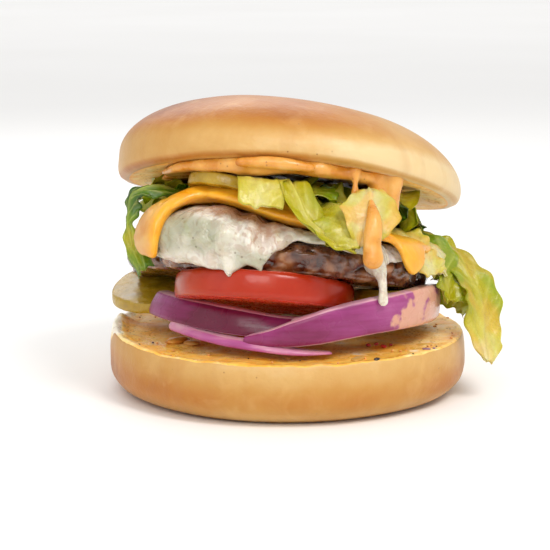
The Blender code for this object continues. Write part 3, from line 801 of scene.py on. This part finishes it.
def make_onions(finish):
    """Three open rings: one lies on the bun, one leans on it at the left, one stands at the right."""
    return [
        onion_ring(
            "onion_lower_cut", "onion_ring_lower", (0.0, -0.006), 0.044, 0.0010, (-147, -72),
            mm({-147: 24.8, -136: 24.2, -109: 22.4, -85: 20.6, -72: 19.9}),
            mm({-147: 28.4, -136: 26.8, -109: 25, -89: 22.9, -72: 21.8}),
            lambda a: 0.04 + 0.14 * bump(turn_from(a, -112), 0, 22), finish, 1.0, taper=0.6,
        ),
        onion_ring(
            "onion_right_cut", "onion_ring_right", (0.0035, -0.005), 0.045, 0.0, (-112, 52),
            mm({-112: 23.3, -92: 23.3, -77: 24.8, -64: 26.2, -48: 26.4, -25: 25.6, -5: 24.5, 20: 21.6,
                52: 19.9}),
            mm({-112: 25.6, -96: 30.2, -84: 33.6, -75: 35.6, -64: 36.9, -48: 37.6, -25: 37.6, -5: 35.4,
                20: 30, 52: 24}),
            lambda a: 0.36 + 0.30 * bump(turn_from(a, -92), 0, 22), finish, 2.0,
            lambda a: 0.70 * rise(turn_from(a, -58), 0.0, 16.0) * rise(-turn_from(a, -4), 0.0, 8.0),
        ),
        onion_ring(
            "onion_inner_cut", "onion_ring_inner", (0.005, -0.005), 0.0412, 0.0, (-96, -8),
            mm({-96: 23.6, -77: 25, -50: 26.8, -8: 27.2}),
            mm({-96: 30.4, -83: 33.7, -72: 35, -54: 36.2, -8: 34}),
            lambda a: 0.45, finish, 3.0,
        ),
        onion_ring(
            "onion_left_cut", "onion_ring_left", (-0.006, -0.005), 0.0397, 0.0030, (-164, -52),
            mm({-164: 27.2, -140: 27.4, -123: 26.8, -101: 25.6, -82: 25.2, -52: 26.2}),
            mm({-164: 34.2, -150: 34.8, -123: 34.5, -101: 33, -82: 30.6, -52: 29.6}),
            # The left ring's purple is deepest at its front under the tomato, which is painted shade, and
            # lighter towards its left end.
            lambda a: 0.66 + 0.34 * bump(turn_from(a, -110), 0, 26) - 0.20 * bump(turn_from(a, -155), 0, 16),
            finish, 4.0,
        ),
    ]


def make_slice(name, node, centre, radius, thickness, tilt, finish, count, droop=0.0, mark=None):
    """A round slice with a soft rim. tilt holds its turns about X and Y in degrees."""
    flats = spread([(0.0, 4), (0.5, 8), (0.85, 8), (0.99, 0)])
    nose = [math.pi / 2 - math.pi * i / 12 for i in range(1, 12)]
    levels = folded(flats, "rim", nose)
    marks = defaultdict(list)
    lean = Matrix.Rotation(math.radians(tilt[1]), 4, "Y") @ Matrix.Rotation(math.radians(tilt[0]), 4, "X")
    corner = thickness * 0.20

    def place(level, angle):
        kind, spot = level
        reach = radius * (1 + 0.01 * uneven(angle, radius * 700))
        if kind == "rim":
            s = reach - corner + corner * squarish(math.cos(spot), 0.8)
            z = thickness / 2 * squarish(math.sin(spot), 0.55)
            flesh = rise(abs(math.sin(spot)), 0.86, 0.99)
        else:
            s = spot * (reach - corner)
            z = thickness / 2 * (1 if kind == "over" else -1)
            flesh = 1.0
        point = polar(s, angle, z)
        point.z += 0.00035 * rough(point, 0.006, radius * 1000, 2) * flesh
        point.z -= droop * max(0.0, -point.x / radius) ** 2
        marks["flesh"].append(flesh)
        marks["pale"].append(mark(angle) if mark else 0.0)
        return point

    points, faces = round_mesh(levels, count, place)
    made = add_mesh(name, points, faces, finish, STACK @ Matrix.Translation(centre) @ lean, marks)
    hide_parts(node)
    return made


# Each pickle's place, middle in the stack, radius, tilt, points round it and droop
PICKLES = [
    ("left", (-0.0355, 0.0045, -0.0030), 0.0180, (26.0, -7.0), 120, 0.0020),
    ("middle", (0.0365, -0.0140, -0.0024), 0.0125, (0.0, 0.0), 100, 0.0),
    ("top", (-0.0180, -0.0350, 0.0265), 0.0120, (-4.0, 8.0), 100, 0.0),
]


# Patty

def nodule(place):
    """The height of 0.5 to about -0.5 of round lumps of one unit that meet in sharp valleys."""
    return 0.5 - 1.15 * noise.voronoi(place)[0][0] ** 2


PATTY_PROFILE = [
    (0.0, 1.0), (0.4, 1.0), (0.7, 0.98), (0.88, 1.0), (0.965, 0.88), (1.0, 0.62), (0.99, 0.34),
    (0.965, 0.14), (0.90, 0.0), (0.5, 0.0), (0.0, 0.0),
]
PATTY_STEPS = [3, 4, 8, 12, 12, 12, 10, 10, 8, 3]


def make_patty(finish):
    """The beef patty: coarse lumps with deep cracks round its rim."""
    levels = profile_levels(PATTY_STEPS)
    marks = defaultdict(list)

    def place(level, angle):
        share, height = on_profile(PATTY_PROFILE, level)
        crag = 0.014 * uneven(angle * 2, 0.9 + 0.8 * height) + 0.006 * uneven(angle * 4, 2.2 + height)
        radius = share * PATTY_RADIUS * (1 + crag * rise(share, 0.86, 0.94) - 0.008)
        point = polar(radius, angle, PATTY_FOOT + height * (PATTY_TOP - PATTY_FOOT))
        warp = point + Vector((1, 1, 1)) * 0.0012 * rough(point, 0.004, 3.0, 2)
        big = nodule(warp / 0.0078 + Vector((3.0, 1.0, 2.0)))
        little = nodule(warp / 0.0036 + Vector((1.0, 4.0, 2.0)))
        small = rough(point, 0.0022, 5.0)
        knob = bump(turn_from(angle, -83), 0, 8) * bump(height, 0.62, 0.30)
        knob += 0.7 * bump(turn_from(angle, -40), 0, 7)
        relief = 0.0019 * big + 0.0011 * little + 0.00004 * small + 0.0014 * knob
        if share > 0.9:
            point += polar(1.0, angle, 0.35 * (height - 0.5)).normalized() * relief
        else:
            point.z += (height - 0.5) * relief * 0.8
        point.z = max(point.z, PATTY_FOOT - 0.0004)
        # Lighter on the lumps and darker in the valleys between them: the dark valleys are painted shade.
        tone = 0.40 + 0.45 * big + 0.50 * little + 0.10 * small
        marks["crag"].append(tone + 0.25 * rough(point, 0.012, 8.0, 2))
        return point

    points, faces = round_mesh(levels, PATTY_POINTS, place)
    patty = add_mesh("patty_seared", points, faces, finish, STACK, marks)
    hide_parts("patty")
    return patty


# Cheeses

WHITE_HEM = mm({
    -180: 11.8, -160: 11.6, -148: 7, -137: 3.4, -124: 1.8, -111: 0.2, -106: -0.8, -101: 1.8, -97: 1,
    -91: 7, -84: 9.2, -70: 8.6, -61: 7.6, -55: 4, -48: 6.8, -38: 8.5, -20: 10, 0: 10, 35: 8.5, 62: 4,
    80: 8, 110: 9.5, 140: 6, 160: 9.5,
})
YELLOW_HEM = mm({
    -180: 12.8, -160: 14.6, -144: 12.4, -139: 3.6, -133: 2.4, -128: 10, -119: 11.6, -90: 11.2, -62: 10.8,
    -50: 9.8, -41: 4, -32: 9.2, -10: 11.2, 20: 10, 42: 4.8, 64: 9.6, 95: 11.2, 120: 9.6, 141: 4.8,
    162: 10,
})


def draped_path(s, angle, lift):
    """Across the patty, over its shoulder and down its side, at a lift above it."""
    if s <= SHOULDER_START:
        return polar(s, angle, PATTY_TOP + lift)
    if s <= SHOULDER_END:
        bend = (s - SHOULDER_START) / SHOULDER
        height = PATTY_TOP - SHOULDER + (SHOULDER + lift) * math.cos(bend)
        return polar(SHOULDER_START + (SHOULDER + lift) * math.sin(bend), angle, height)
    return polar(SHOULDER_START + SHOULDER + lift, angle, PATTY_TOP - SHOULDER - (s - SHOULDER_END))


def drape_length(height):
    """How far from the middle a draped edge lies that hangs down to a height."""
    return SHOULDER_END + PATTY_TOP - SHOULDER - height


def white_top(s, angle):
    """The white cheese's thickness, which swells to a heap at the front left."""
    heap = bump(turn_from(angle, -120), 0, 25) * bump(s, 0.0435, 0.0130)
    return WHITE_THICKNESS + WHITE_HEAP * heap - 0.0006 * bump(s, 0.062, 0.006)


YELLOW_FOLD = mm({
    -180: 0, -152: 0, -136: 4.2, -122: 6.2, -104: 5.6, -82: 4.2, -58: 3.4, -44: 0, 90: 0,
})


def yellow_under(s, angle):
    return white_top(s, angle) + 2 * GAP


def yellow_over(s, angle):
    fold = 1.35 * around(YELLOW_FOLD, angle) * bump(s, 0.0380, 0.0085)
    return yellow_under(s, angle) + YELLOW_THICKNESS + fold


def draped_mesh(hem, under, over, ragged, seed):
    """A melted layer over the patty, with a thick round hem that is uneven by a ragged depth."""
    shares = spread([(0.0, 6), (0.6, 12), (0.9, 16), (1.0, 0)])
    nose = [math.pi / 2 - math.pi * i / 8 for i in range(1, 8)]
    levels = folded(shares, "nose", nose)

    def place(level, angle):
        kind, spot = level
        edge = polar(0.05, angle)
        reach = drape_length(around(hem, angle)) + ragged * rough(edge, 0.006, seed, 3)
        half = (over(reach, angle) - under(reach, angle)) / 2
        inner = reach - half
        if kind == "nose":
            s = inner + half * math.cos(spot)
            side = math.sin(spot)
        else:
            s = spot * inner
            side = 1 if kind == "over" else -1
        top, bottom = over(s, angle), under(s, angle)
        return draped_path(s, angle, (top + bottom) / 2 + side * (top - bottom) / 2)

    return round_mesh(levels, CHEESE_POINTS, place)


def make_white_cheese(finish):
    """The white cheese: a swollen melted heap at the front left and a long drip at the right."""
    def over(s, angle):
        point = polar(s, angle)
        fold = abs(rough(point, 0.0085, 12.0, 2))
        relief = 0.0010 * rough(point, 0.010, 4.0, 3) - 0.0024 * fold + 0.0004
        return white_top(s, angle) + relief * rise(s, 0.02, 0.04)

    sheet = draped_mesh(WHITE_HEM, lambda s, a: 0.0009, over, 0.0006, 2.0)
    tubes = drip_meshes([
        ([(28.5, -42.5, 6), (30.3, -44, 3), (31.3, -44.7, -0.8), (31.7, -44.7, -5.2)],
         [3.6, 2.6, 1.5, 1.3, 1.7]),
        ([(-16.5, -50, 4), (-16, -50.8, 1), (-15, -50, -1.2)],
         [2, 1.3, 0.9]),
        ([(-7.5, -51, 6), (-6.6, -51.2, 3), (-5.8, -50.8, 0.8)],
         [2.2, 1.3, 0.8]),
    ])
    cheese = melted("cheese_white_melted", [sheet] + tubes, finish, 4)
    mark_points(cheese, "pink", lambda p: (
        0.12 + 0.65 * bump(p.x, -0.006, 0.010) * rise(p.z, 0.003, 0.009)
        + 0.5 * bump(p.x, 0.012, 0.010) * rise(0.008 - p.z, 0, 0.004)
        + 0.6 * rise(p.z, 0.0135, 0.0175) * rise(p.x, -0.034, -0.022) + 0.34 * rise(p.x, 0.022, 0.028)
        + 0.26 * rise(0.007 - p.z, 0.0, 0.004) * rise(-p.x, 0.010, 0.016)
    ))
    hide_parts("cheese_white")
    return cheese


def make_yellow_cheese(finish):
    """The yellow slice: its front edge lies on the white heap, its corners hang."""
    sheet = draped_mesh(YELLOW_HEM, yellow_under, yellow_over, 0.0002, 6.0)
    cheese = melted("cheese_yellow_melted", [sheet], finish, 4)
    mark_points(cheese, "coated", lambda p: 0.9 * rise(-p.x, 0.0380, 0.0425) * rise(p.z, 0.0, 0.004))
    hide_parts("cheese_yellow")
    return cheese


# Sauce

SAUCE_FRONT = -93
SAUCE_REACH = mm({
    -180: 40, -156: 41, -141: 48.5, -130: 52.8, -90: 53.4, -60: 53, -47: 50.5, -36: 42, 0: 40, 90: 44,
})


def make_sauce(finish):
    """The sauce under the upper bun, thick along the front, with a run down to the cheese."""
    shares = spread([(0.0, 4), (0.55, 8), (0.86, 10), (1.0, 0)])
    levels = folded(shares[:-1], "rim", [1.0])

    def place(level, angle):
        kind, share = level
        reach = around(SAUCE_REACH, angle) + 0.0010 * rough(polar(0.05, angle), 0.007, 3.0)
        s = share * reach
        front = turn_from(angle, SAUCE_FRONT)
        lip = bump(s, 0.0500, 0.0045) * bump(front, 0, 36)
        thick = 0.0014 + 0.0034 * lip * (0.75 + 0.25 * uneven(angle * 2, 0.4))
        thick += 0.0003 * rough(polar(s, angle), 0.008, 2.0)
        drop = {"over": 0.0, "rim": -thick / 2, "under": -thick}[kind]
        point = polar(s, angle, drop)
        point.z += crown_cut(point.x) - 2.5 * GAP
        if kind == "over":
            point.z += 0.0011 * bump(front, 0, 42) * rise(s, 0.046, 0.050)
        return point

    body = round_mesh(levels, SAUCE_POINTS, place)
    tubes = drip_meshes([
        ([(31.8, -39.5, 32.5), (32.2, -39.5, 27.5), (32.8, -37.5, 22.5)],
         [4.2, 2.8, 2.2]),
        ([(26.8, -42, 32.5), (27.8, -41.5, 28.5), (28.8, -40, 25)],
         [3.4, 2.4, 1.6]),
        ([(20.3, -48, 33), (20.6, -48.5, 29), (20.6, -48.5, 26.2)],
         [1.9, 0.8, 1.3]),
        ([(-14.5, -52.8, 32.2), (-7, -53.8, 32.6), (0, -54, 32.5), (6.5, -53.1, 32)],
         [1.4, 1.7, 2, 2, 1.7, 1.4]),
    ])
    sauce = melted("sauce_thick", [body] + tubes, finish, 3)
    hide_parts("sauce")
    return sauce


# Lettuce

def leaf_mesh(spine, widths, facing, ripple, waves, cup, tones, rib, sauced, seed, rows=46, columns=21):
    """A thin ruffled leaf along its spine, with a rib and side veins. Both faces are split alike."""
    facing = Vector(facing)
    points = []
    marks = defaultdict(list)
    for out in (1, -1):
        for row in range(rows):
            share = row / (rows - 1)
            centre = smooth_path(spine, share)
            ahead = smooth_path(spine, min(share + 0.03, 1.0)) - smooth_path(spine, max(share - 0.03, 0.0))
            ahead.normalize()
            side = ahead.cross(facing).normalized()
            normal = side.cross(ahead)
            half = along(widths, share) / 2
            for column in range(columns):
                across = 2 * column / (columns - 1) - 1
                far = abs(across)
                phase = 0.9 if across > 0 else 2.6
                frayed = 1 + 0.12 * noise.noise(Vector((share * 9, phase * 3, seed))) * far
                torn = 0.0016 * rise(share, 0.8, 1.0)
                torn *= noise.noise(Vector((across * 2.4, seed * 3 + share, 4.0)))
                wave = math.sin(2 * math.pi * waves * share + phase) * far**1.5
                frill = math.sin(2 * math.pi * waves * 3.1 * share + phase * 2 + seed) * far**3
                spot = (share * 7 + far * 1.6 + seed) % 1.0
                branch = bump(spot, 0.5, 0.10) * rise(far, 0.06, 0.2) * (1 - rise(far, 0.75, 1.0))
                stem = bump(across, 0.0, 0.13) * (1 - 0.75 * share)
                crease = noise.noise(Vector((share * 6 + seed, across * 3, 1.0)))
                lift = cup * across**2 * half + ripple * wave + 0.45 * ripple * frill
                lift += rib * (0.0007 * stem + 0.00022 * branch) + 0.0007 * crease
                thin = LEAF_THICKNESS / 2 * (1.0 + 1.2 * stem * rib) * (1.0 - 0.5 * far**4)
                flat = centre + side * across * half * frayed + ahead * torn
                points.append(flat + normal * (lift + out * thin))
                marks["vein"].append(min(1.0, rib * (stem + 0.75 * branch)))
                marks["tone"].append(along(tones, share) + 0.16 * (far - 0.5) + 0.06 * crease)
                stain = noise.noise(Vector((share * 5, across * 1.5, seed + 8)))
                marks["sauced"].append(sauced * rise(stain, -0.1, 0.25))
    faces = []
    grid = rows * columns
    for row in range(rows - 1):
        for column in range(columns - 1):
            a = row * columns + column
            faces.append((a, a + 1, a + columns + 1, a + columns))
            faces.append((grid + a, grid + a + columns, grid + a + columns + 1, grid + a + 1))
    rim = [row * columns for row in range(rows)] + [(rows - 1) * columns + c for c in range(1, columns)]
    rim += [row * columns + columns - 1 for row in range(rows - 2, -1, -1)] + list(range(columns - 2, 0, -1))
    for first, following in zip(rim, rim[1:] + rim[:1]):
        faces.append((following, first, grid + first, grid + following))
    return points, faces, marks


def leaf_group(name, leaves, finish):
    """Many leaves as one piece."""
    points, faces = joined([leaf[:2] for leaf in leaves])
    marks = defaultdict(list)
    for _, _, more_marks in leaves:
        for mark, values in more_marks.items():
            marks[mark] += values
    return add_mesh(name, points, faces, finish, STACK, marks)


# The leaves that hang out of the burger: spine and widths in millimetres, the way they face, ripple in
# millimetres, waves, cup, tones along the leaf, rib, share with sauce on it, seed, rows and columns
SHOWN_LEAVES = [
    # front
    ([(-5, -30, 23.5), (-6.2, -42, 26.2), (-7.8, -52, 27.2), (-7.4, -56, 19)],
     [12, 13, 14.5, 13.5], (0.05, -0.6, 0.8), 0.8, 1.2, 0.1, (0.3, 0.26, 0.24), 0.8, 0.0, 1.0),
    ([(-0.5, -33, 23.5), (0.8, -50, 27.5), (7, -56, 16), (14, -57, 11.2), (21.5, -56.6, 8)],
     [7, 8, 9, 8, 5], (0.1, -0.7, 0.7), 1, 2.0, 0.45, (0.35, 0.42, 0.4), 1.0, 0.0, 2.0),
    ([(10, -33, 22.5), (15, -49, 21.5), (18.5, -55.5, 16), (22.5, -57.2, 9.5)],
     [14, 20, 19, 10], (0.0, -0.7, 0.7), 1.4, 2.0, -0.15, (0.55, 0.45, 0.4), 1.0, 0.0, 3.0),
    ([(7, -30, 25), (8.5, -40, 27.8), (9, -47.5, 24.8)],
     [12, 15, 13], (0.0, -0.5, 0.9), 1.4, 1.5, -0.2, (0.75, 0.7, 0.62), 0.8, 0.0, 4.0, 30),
    ([(23, -33, 24), (24.6, -50, 27.2), (25, -56.5, 19), (23.6, -57.5, 9.5)],
     [6, 7, 19, 6], (0.05, -0.9, 0.3), 1, 1.5, 0.12, (0.25, 0.16, 0.18), 0.8, 0.5, 5.0),
    # left
    ([(-24, -16, 23.2), (-38.5, -30, 25.2), (-45.8, -30.5, 22.8), (-47.4, -30.5, 16.8), (-46.2, -31.5, 9),
      (-41.5, -34.5, -1)],
     [9, 6.5, 6.2, 5.8, 5, 7.2], (-0.7, -0.6, 0.3), 1.2, 2.5, -0.3, (0.75, 0.86, 0.92, 0.86, 0.45, 0.85),
     1.0, 0.0, 6.0, 60),
    # right
    ([(29, -18, 21.2), (37.5, -25, 16.8), (44, -28, 11.5), (47.5, -28, 5)],
     [10, 12, 14, 11], (0.5, -0.6, 0.6), 1.4, 2.0, 0.15, (0.4, 0.25, 0.12, 0.2), 1.0, 0.35, 7.0),
    ([(30, -10, 21), (43, -15, 17.5), (49, -19.5, 13), (52, -21, 6)],
     [12, 13, 14.5, 10], (0.7, -0.5, 0.5), 1.2, 1.5, -0.2, (0.5, 0.25, 0.1, 0.1), 1.0, 0.35, 8.0),
    ([(31, -6, 20.5), (47, -12, 14), (52.5, -16, 6), (54.5, -17, -2)],
     [14, 16, 14, 10], (0.8, -0.6, 0.2), 1.4, 2.0, 0.3, (0.7, 0.58, 0.5), 1.0, 0.0, 9.0),
    ([(32, 2, 19.5), (46, -1, 16.5), (56, -4.5, 11.2), (58.5, -7, 4.5), (56, -9, -3.5)],
     [12, 12.5, 15.5, 16.5, 11], (0.35, -0.85, 0.4), 2.2, 2.5, -0.15, (0.55, 0.44, 0.44, 0.48), 1.0, 0.0,
     10.0, 56, 27),
    ([(36, -2, 19.5), (53.5, -7, 14.5), (61.2, -10, 6.5), (65, -12, -1.5), (66, -15, -11),
      (67.2, -18.5, -20)],
     [8, 9, 12, 18, 14, 6], (0.6, -0.8, 0.2), 1.4, 2.0, 0.2, (0.5, 0.56, 0.54, 0.5, 0.26, 0.1), 1.0, 0.32,
     11.0, 60),
]


def shown_leaves():
    return [
        leaf_mesh(path_mm(spine), [width / 1000 for width in widths], facing, ripple / 1000, *rest)
        for spine, widths, facing, ripple, *rest in SHOWN_LEAVES
    ]


HEAP_SHREDS = 80
HEAP_FOOT = 0.0172
LETTUCE_REACH = mm({
    -180: 40, -150: 36, -128: 20, -112: 20, -98: 32, -80: 41, -45: 42, 0: 41, 90: 42, 140: 40,
})


def heap_leaves():
    """Crumpled shreds round the edge of the heap, between the cheese and the sauce."""
    draw = random.Random(7)
    leaves = []
    for i in range(HEAP_SHREDS):
        angle = 360 * i / HEAP_SHREDS + draw.uniform(-3, 3)
        reach = around(LETTUCE_REACH, angle)
        z = draw.uniform(0.0190, 0.0298)
        inner = polar(reach - 0.014, angle + draw.uniform(-14, 14), z + draw.uniform(-0.002, 0.002))
        outer = polar(reach + draw.uniform(-0.001, 0.0025), angle, z)
        tip = polar(reach + draw.uniform(0.0, 0.003), angle + draw.uniform(-6, 6),
                    max(z - draw.uniform(0.0015, 0.006), HEAP_FOOT))
        width = draw.uniform(0.008, 0.015)
        facing = polar(0.7, angle + draw.uniform(-40, 40), draw.uniform(0.4, 1.0))
        tone = draw.uniform(0.3, 0.95)
        leaves.append(leaf_mesh([inner, outer, tip], [width * 0.8, width, width * 0.7], facing, 0.0012, 1.7,
                                draw.uniform(-0.3, 0.3), (tone, tone + draw.uniform(-0.15, 0.15)), 0.9, 0.0,
                                20.0 + i, 16, 9))
    return leaves


def make_lettuce(finish, sauce_finish):
    """The heap of lettuce between the cheese and the sauce, with the leaves that hang out of it."""
    shares = spread([(0.0, 5), (0.5, 6), (0.9, 5), (0.985, 0)])
    levels = folded(shares, "rim", [1.0])
    marks = defaultdict(list)

    def place(level, angle):
        kind, share = level
        s = share * (around(LETTUCE_REACH, angle) - 0.003)
        high = crown_cut(polar(s, angle).x) - 0.0040
        heights = {"over": high, "rim": (HEAP_FOOT + high) / 2, "under": HEAP_FOOT}
        point = polar(s, angle, heights[kind])
        point += Vector((1, 1, 0.5)) * 0.0012 * rough(point, 0.006, 3.0)
        # The core is dark green: lettuce with painted shade for the gap under the upper bun.
        marks["tone"].append(0.70 + 0.45 * rough(point, 0.009, 1.0))
        marks["vein"].append(0.0)
        marks["sauced"].append(0.0)
        return point

    points, faces = round_mesh(levels, HEAP_POINTS, place)
    core = add_mesh("lettuce_core", points, faces, finish, STACK, marks)
    shown = leaf_group("lettuce_leaves", shown_leaves(), finish)
    heap = leaf_group("lettuce_shreds", heap_leaves(), finish)
    run = drip_meshes([
        ([(25.2, -56, 23), (26.2, -58.8, 17), (26.2, -59, 11), (26.8, -59, 6)], [0.9, 2.2, 2.8, 2.7, 3.2]),
    ])
    drip = melted("lettuce_drip", run, sauce_finish, 2, 0.0005)
    for piece in (core, shown, heap, drip):
        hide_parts("lettuce")
    return [core, shown, heap, drip]


# Bits

def pebbles(name, places, finish, seed):
    """Small rough grains as one piece. Each place holds a point, length, width and height in millimetres."""
    parts = []
    for number, (x, y, z, *sizes) in enumerate(places):
        turn = Matrix.Rotation(seed + 1.7 * number, 3, "Z")
        middle = Vector((x, y, z)) / 1000

        def place(level, angle):
            way = polar(math.cos(level), angle, math.sin(level))
            way *= 1 + 0.22 * noise.noise(way * 1.6 + Vector((seed, number, 0.0)))
            return middle + turn @ Vector([part * size / 2000 for part, size in zip(way, sizes)])

        parts.append(round_mesh([math.pi * (0.5 - i / 8) for i in range(9)], 12, place))
    points, faces = joined(parts)
    return add_mesh(name, points, faces, finish)


CRUMB_COUNT = 46


def rim_crumbs():
    """Loose crumbs along the edge of the lower bun's cut."""
    draw = random.Random(11)
    crumbs = []
    for _ in range(CRUMB_COUNT):
        angle = draw.uniform(0.0, 360.0)
        spot = polar(1000 * HEEL_RADIUS * draw.uniform(0.80, 0.965), angle, 1000 * HEEL_HEIGHT + 0.1)
        crumbs.append((*spot, draw.uniform(0.5, 1.3), draw.uniform(0.4, 1.0), draw.uniform(0.4, 0.8)))
    return crumbs


def make_bits(sauce):
    """Pepper, red bits, a scrap of onion skin, a blob of sauce and crumbs on the lower bun."""
    pepper = [
        (26.6, -48.1, 19.6, 2.7, 1.5, 0.9), (-46.3, -27.2, 19.5, 0.9, 0.6, 0.5),
        (-42.2, -24.3, 19.4, 1.0, 0.8, 0.5), (3.5, -49.5, 19.5, 0.5, 0.4, 0.4),
        (-12.0, -47.0, 19.4, 0.8, 0.5, 0.4), (38.0, -40.5, 19.5, 0.6, 0.5, 0.4),
        (46.0, -30.0, 19.5, 0.7, 0.5, 0.4), (-52.0, -14.0, 19.6, 0.6, 0.5, 0.4),
        (44.0, 28.0, 19.4, 0.8, 0.6, 0.5), (-30.0, 45.0, 19.4, 0.7, 0.6, 0.5),
    ]
    red = [
        (24.9, -29.7, 19.8, 2.0, 1.5, 1.1), (27.5, -27.8, 19.8, 1.6, 1.2, 1.0),
        (29.6, -31.1, 19.8, 2.2, 1.4, 1.2), (32.0, -28.6, 19.7, 1.2, 1.0, 0.8),
    ]
    scrap = [(42.6, -34.5, 19.7, 3.0, 1.8, 0.6), (45.0, -33.0, 19.6, 1.6, 1.0, 0.5)]
    blob = [
        (-34.5, -22.0, 19.6, 9.0, 5.4, 2.2), (-30.0, -25.0, 19.5, 6.0, 4.4, 1.4),
        (21.0, -46.5, 19.4, 7.0, 3.4, 0.6),
    ]
    crumb = plain_look("crumb", srgb(214, 150, 82), 0.6)
    dark = plain_look("pepper", srgb(38, 24, 16), 0.25, 0.4)
    flesh = plain_look("red bits", srgb(178, 30, 20), 0.15, 0.5)
    skin = plain_look("onion scrap", srgb(150, 110, 130), 0.3, 0.2)
    dress(pebbles("pepper_specks", pepper, dark, 1.0))
    dress(pebbles("red_bits", red, flesh, 2.0))
    dress(pebbles("onion_scrap", scrap, skin, 3.0))
    dress(pebbles("sauce_blobs", blob, sauce, 4.0))
    dress(pebbles("bread_crumbs", rim_crumbs(), crumb, 5.0))


# Room

WORLD_LIGHT = 0.78
# Each light's name, place, target, width and height, power and colour
LIGHTS = [
    ("key", (0.30, -0.42, 0.62), (0.0, 0.0, 0.05), (0.24, 0.24), 2.6, (1.0, 0.98, 0.95)),
    ("fill", (-0.62, -0.40, 0.30), (0.0, 0.0, 0.05), (0.45, 0.45), 0.3, (1.0, 0.99, 0.98)),
    ("front", (-0.08, -0.70, 0.46), (0.0, 0.0, 0.02), (0.40, 0.22), 1.5, (1.0, 0.99, 0.97)),
    ("back", (-0.15, 0.65, 0.55), (0.0, 0.0, 0.06), (0.6, 0.4), 1.2, (1.0, 1.0, 1.0)),
    ("backdrop", (0.0, 3.2, 2.4), (0.0, 3.2, 0.0), (5.0, 3.0), 26.0, (1.0, 1.0, 1.0)),
]


def area_light(name, place, target, size, power, colour):
    light = bpy.data.lights.new(name, "AREA")
    light.shape = "RECTANGLE"
    light.size, light.size_y = size
    light.energy = power
    light.color = colour
    lamp = bpy.data.objects.new(name, light)
    lamp.location = place
    lamp.rotation_euler = (Vector(target) - Vector(place)).to_track_quat("-Z", "Y").to_euler()
    bpy.context.scene.collection.objects.link(lamp)


def make_room():
    """A pale floor, soft studio light and the camera."""
    look = Look("floor", 0.2)
    look.finish(look.ramp(look.noise(0.4, 2.0), (0.0, 244, 243, 241), (1.0, 250, 249, 248)), 0.9)
    floor = add_mesh("floor", [(-4, -3, 0), (4, -3, 0), (4, 5, 0), (-4, 5, 0)], [(0, 1, 2, 3)], look.material)
    world = bpy.data.worlds.new("studio")
    bpy.context.scene.world = world
    world.use_nodes = True
    world.node_tree.nodes["Background"].inputs["Color"].default_value = (1.0, 1.0, 1.0, 1.0)
    world.node_tree.nodes["Background"].inputs["Strength"].default_value = WORLD_LIGHT
    for name, place, target, size, power, colour in LIGHTS:
        area_light(name, place, target, size, power, colour)
    lens = bpy.data.cameras.new("camera")
    lens.sensor_width = 36.0
    lens.lens = CAMERA_LENS
    lens.clip_start = 0.01
    camera = bpy.data.objects.new("camera", lens)
    camera.location = CAMERA_PLACE
    camera.rotation_euler = (CAMERA_TARGET - CAMERA_PLACE).to_track_quat("-Z", "Y").to_euler()
    bpy.context.scene.collection.objects.link(camera)
    bpy.context.scene.camera = camera
    bpy.context.scene.view_settings.view_transform = "Standard"


def dress(piece):
    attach(piece, "root")


def main():
    crust = crust_look()
    onion = onion_look()
    tomato = tomato_look()
    pickle = pickle_look()
    sauce = sauce_look("burger sauce")

    make_room()
    dress(make_heel(crust))
    dress(make_crown(crust))
    for ring in make_onions(onion):
        dress(ring)
    tomato_slice = make_slice(
        "tomato_cut", "tomato_slice", (-0.0040, -0.0240, -0.0041), TOMATO_RADIUS, TOMATO_THICKNESS,
        (-1.2, 0.3), tomato, 200, mark=lambda a: 0.42 * bump(turn_from(a, -155), 0, 26),
    )
    dress(tomato_slice)
    for side, centre, radius, tilt, count, droop in PICKLES:
        node = f"pickle_{side}"
        dress(make_slice(node + "_cut", node, centre, radius, PICKLE_THICKNESS, tilt, pickle, count, droop))
    dress(make_patty(beef_look()))
    dress(make_white_cheese(white_cheese_look()))
    dress(make_yellow_cheese(yellow_cheese_look()))
    dress(make_sauce(sauce))
    pale_sauce = sauce_look("pale burger sauce", 0.09)
    pieces = make_lettuce(lettuce_look(), pale_sauce)
    for piece in pieces[:3]:
        dress(piece)
    dress(pieces[3])
    make_bits(pale_sauce)


main()
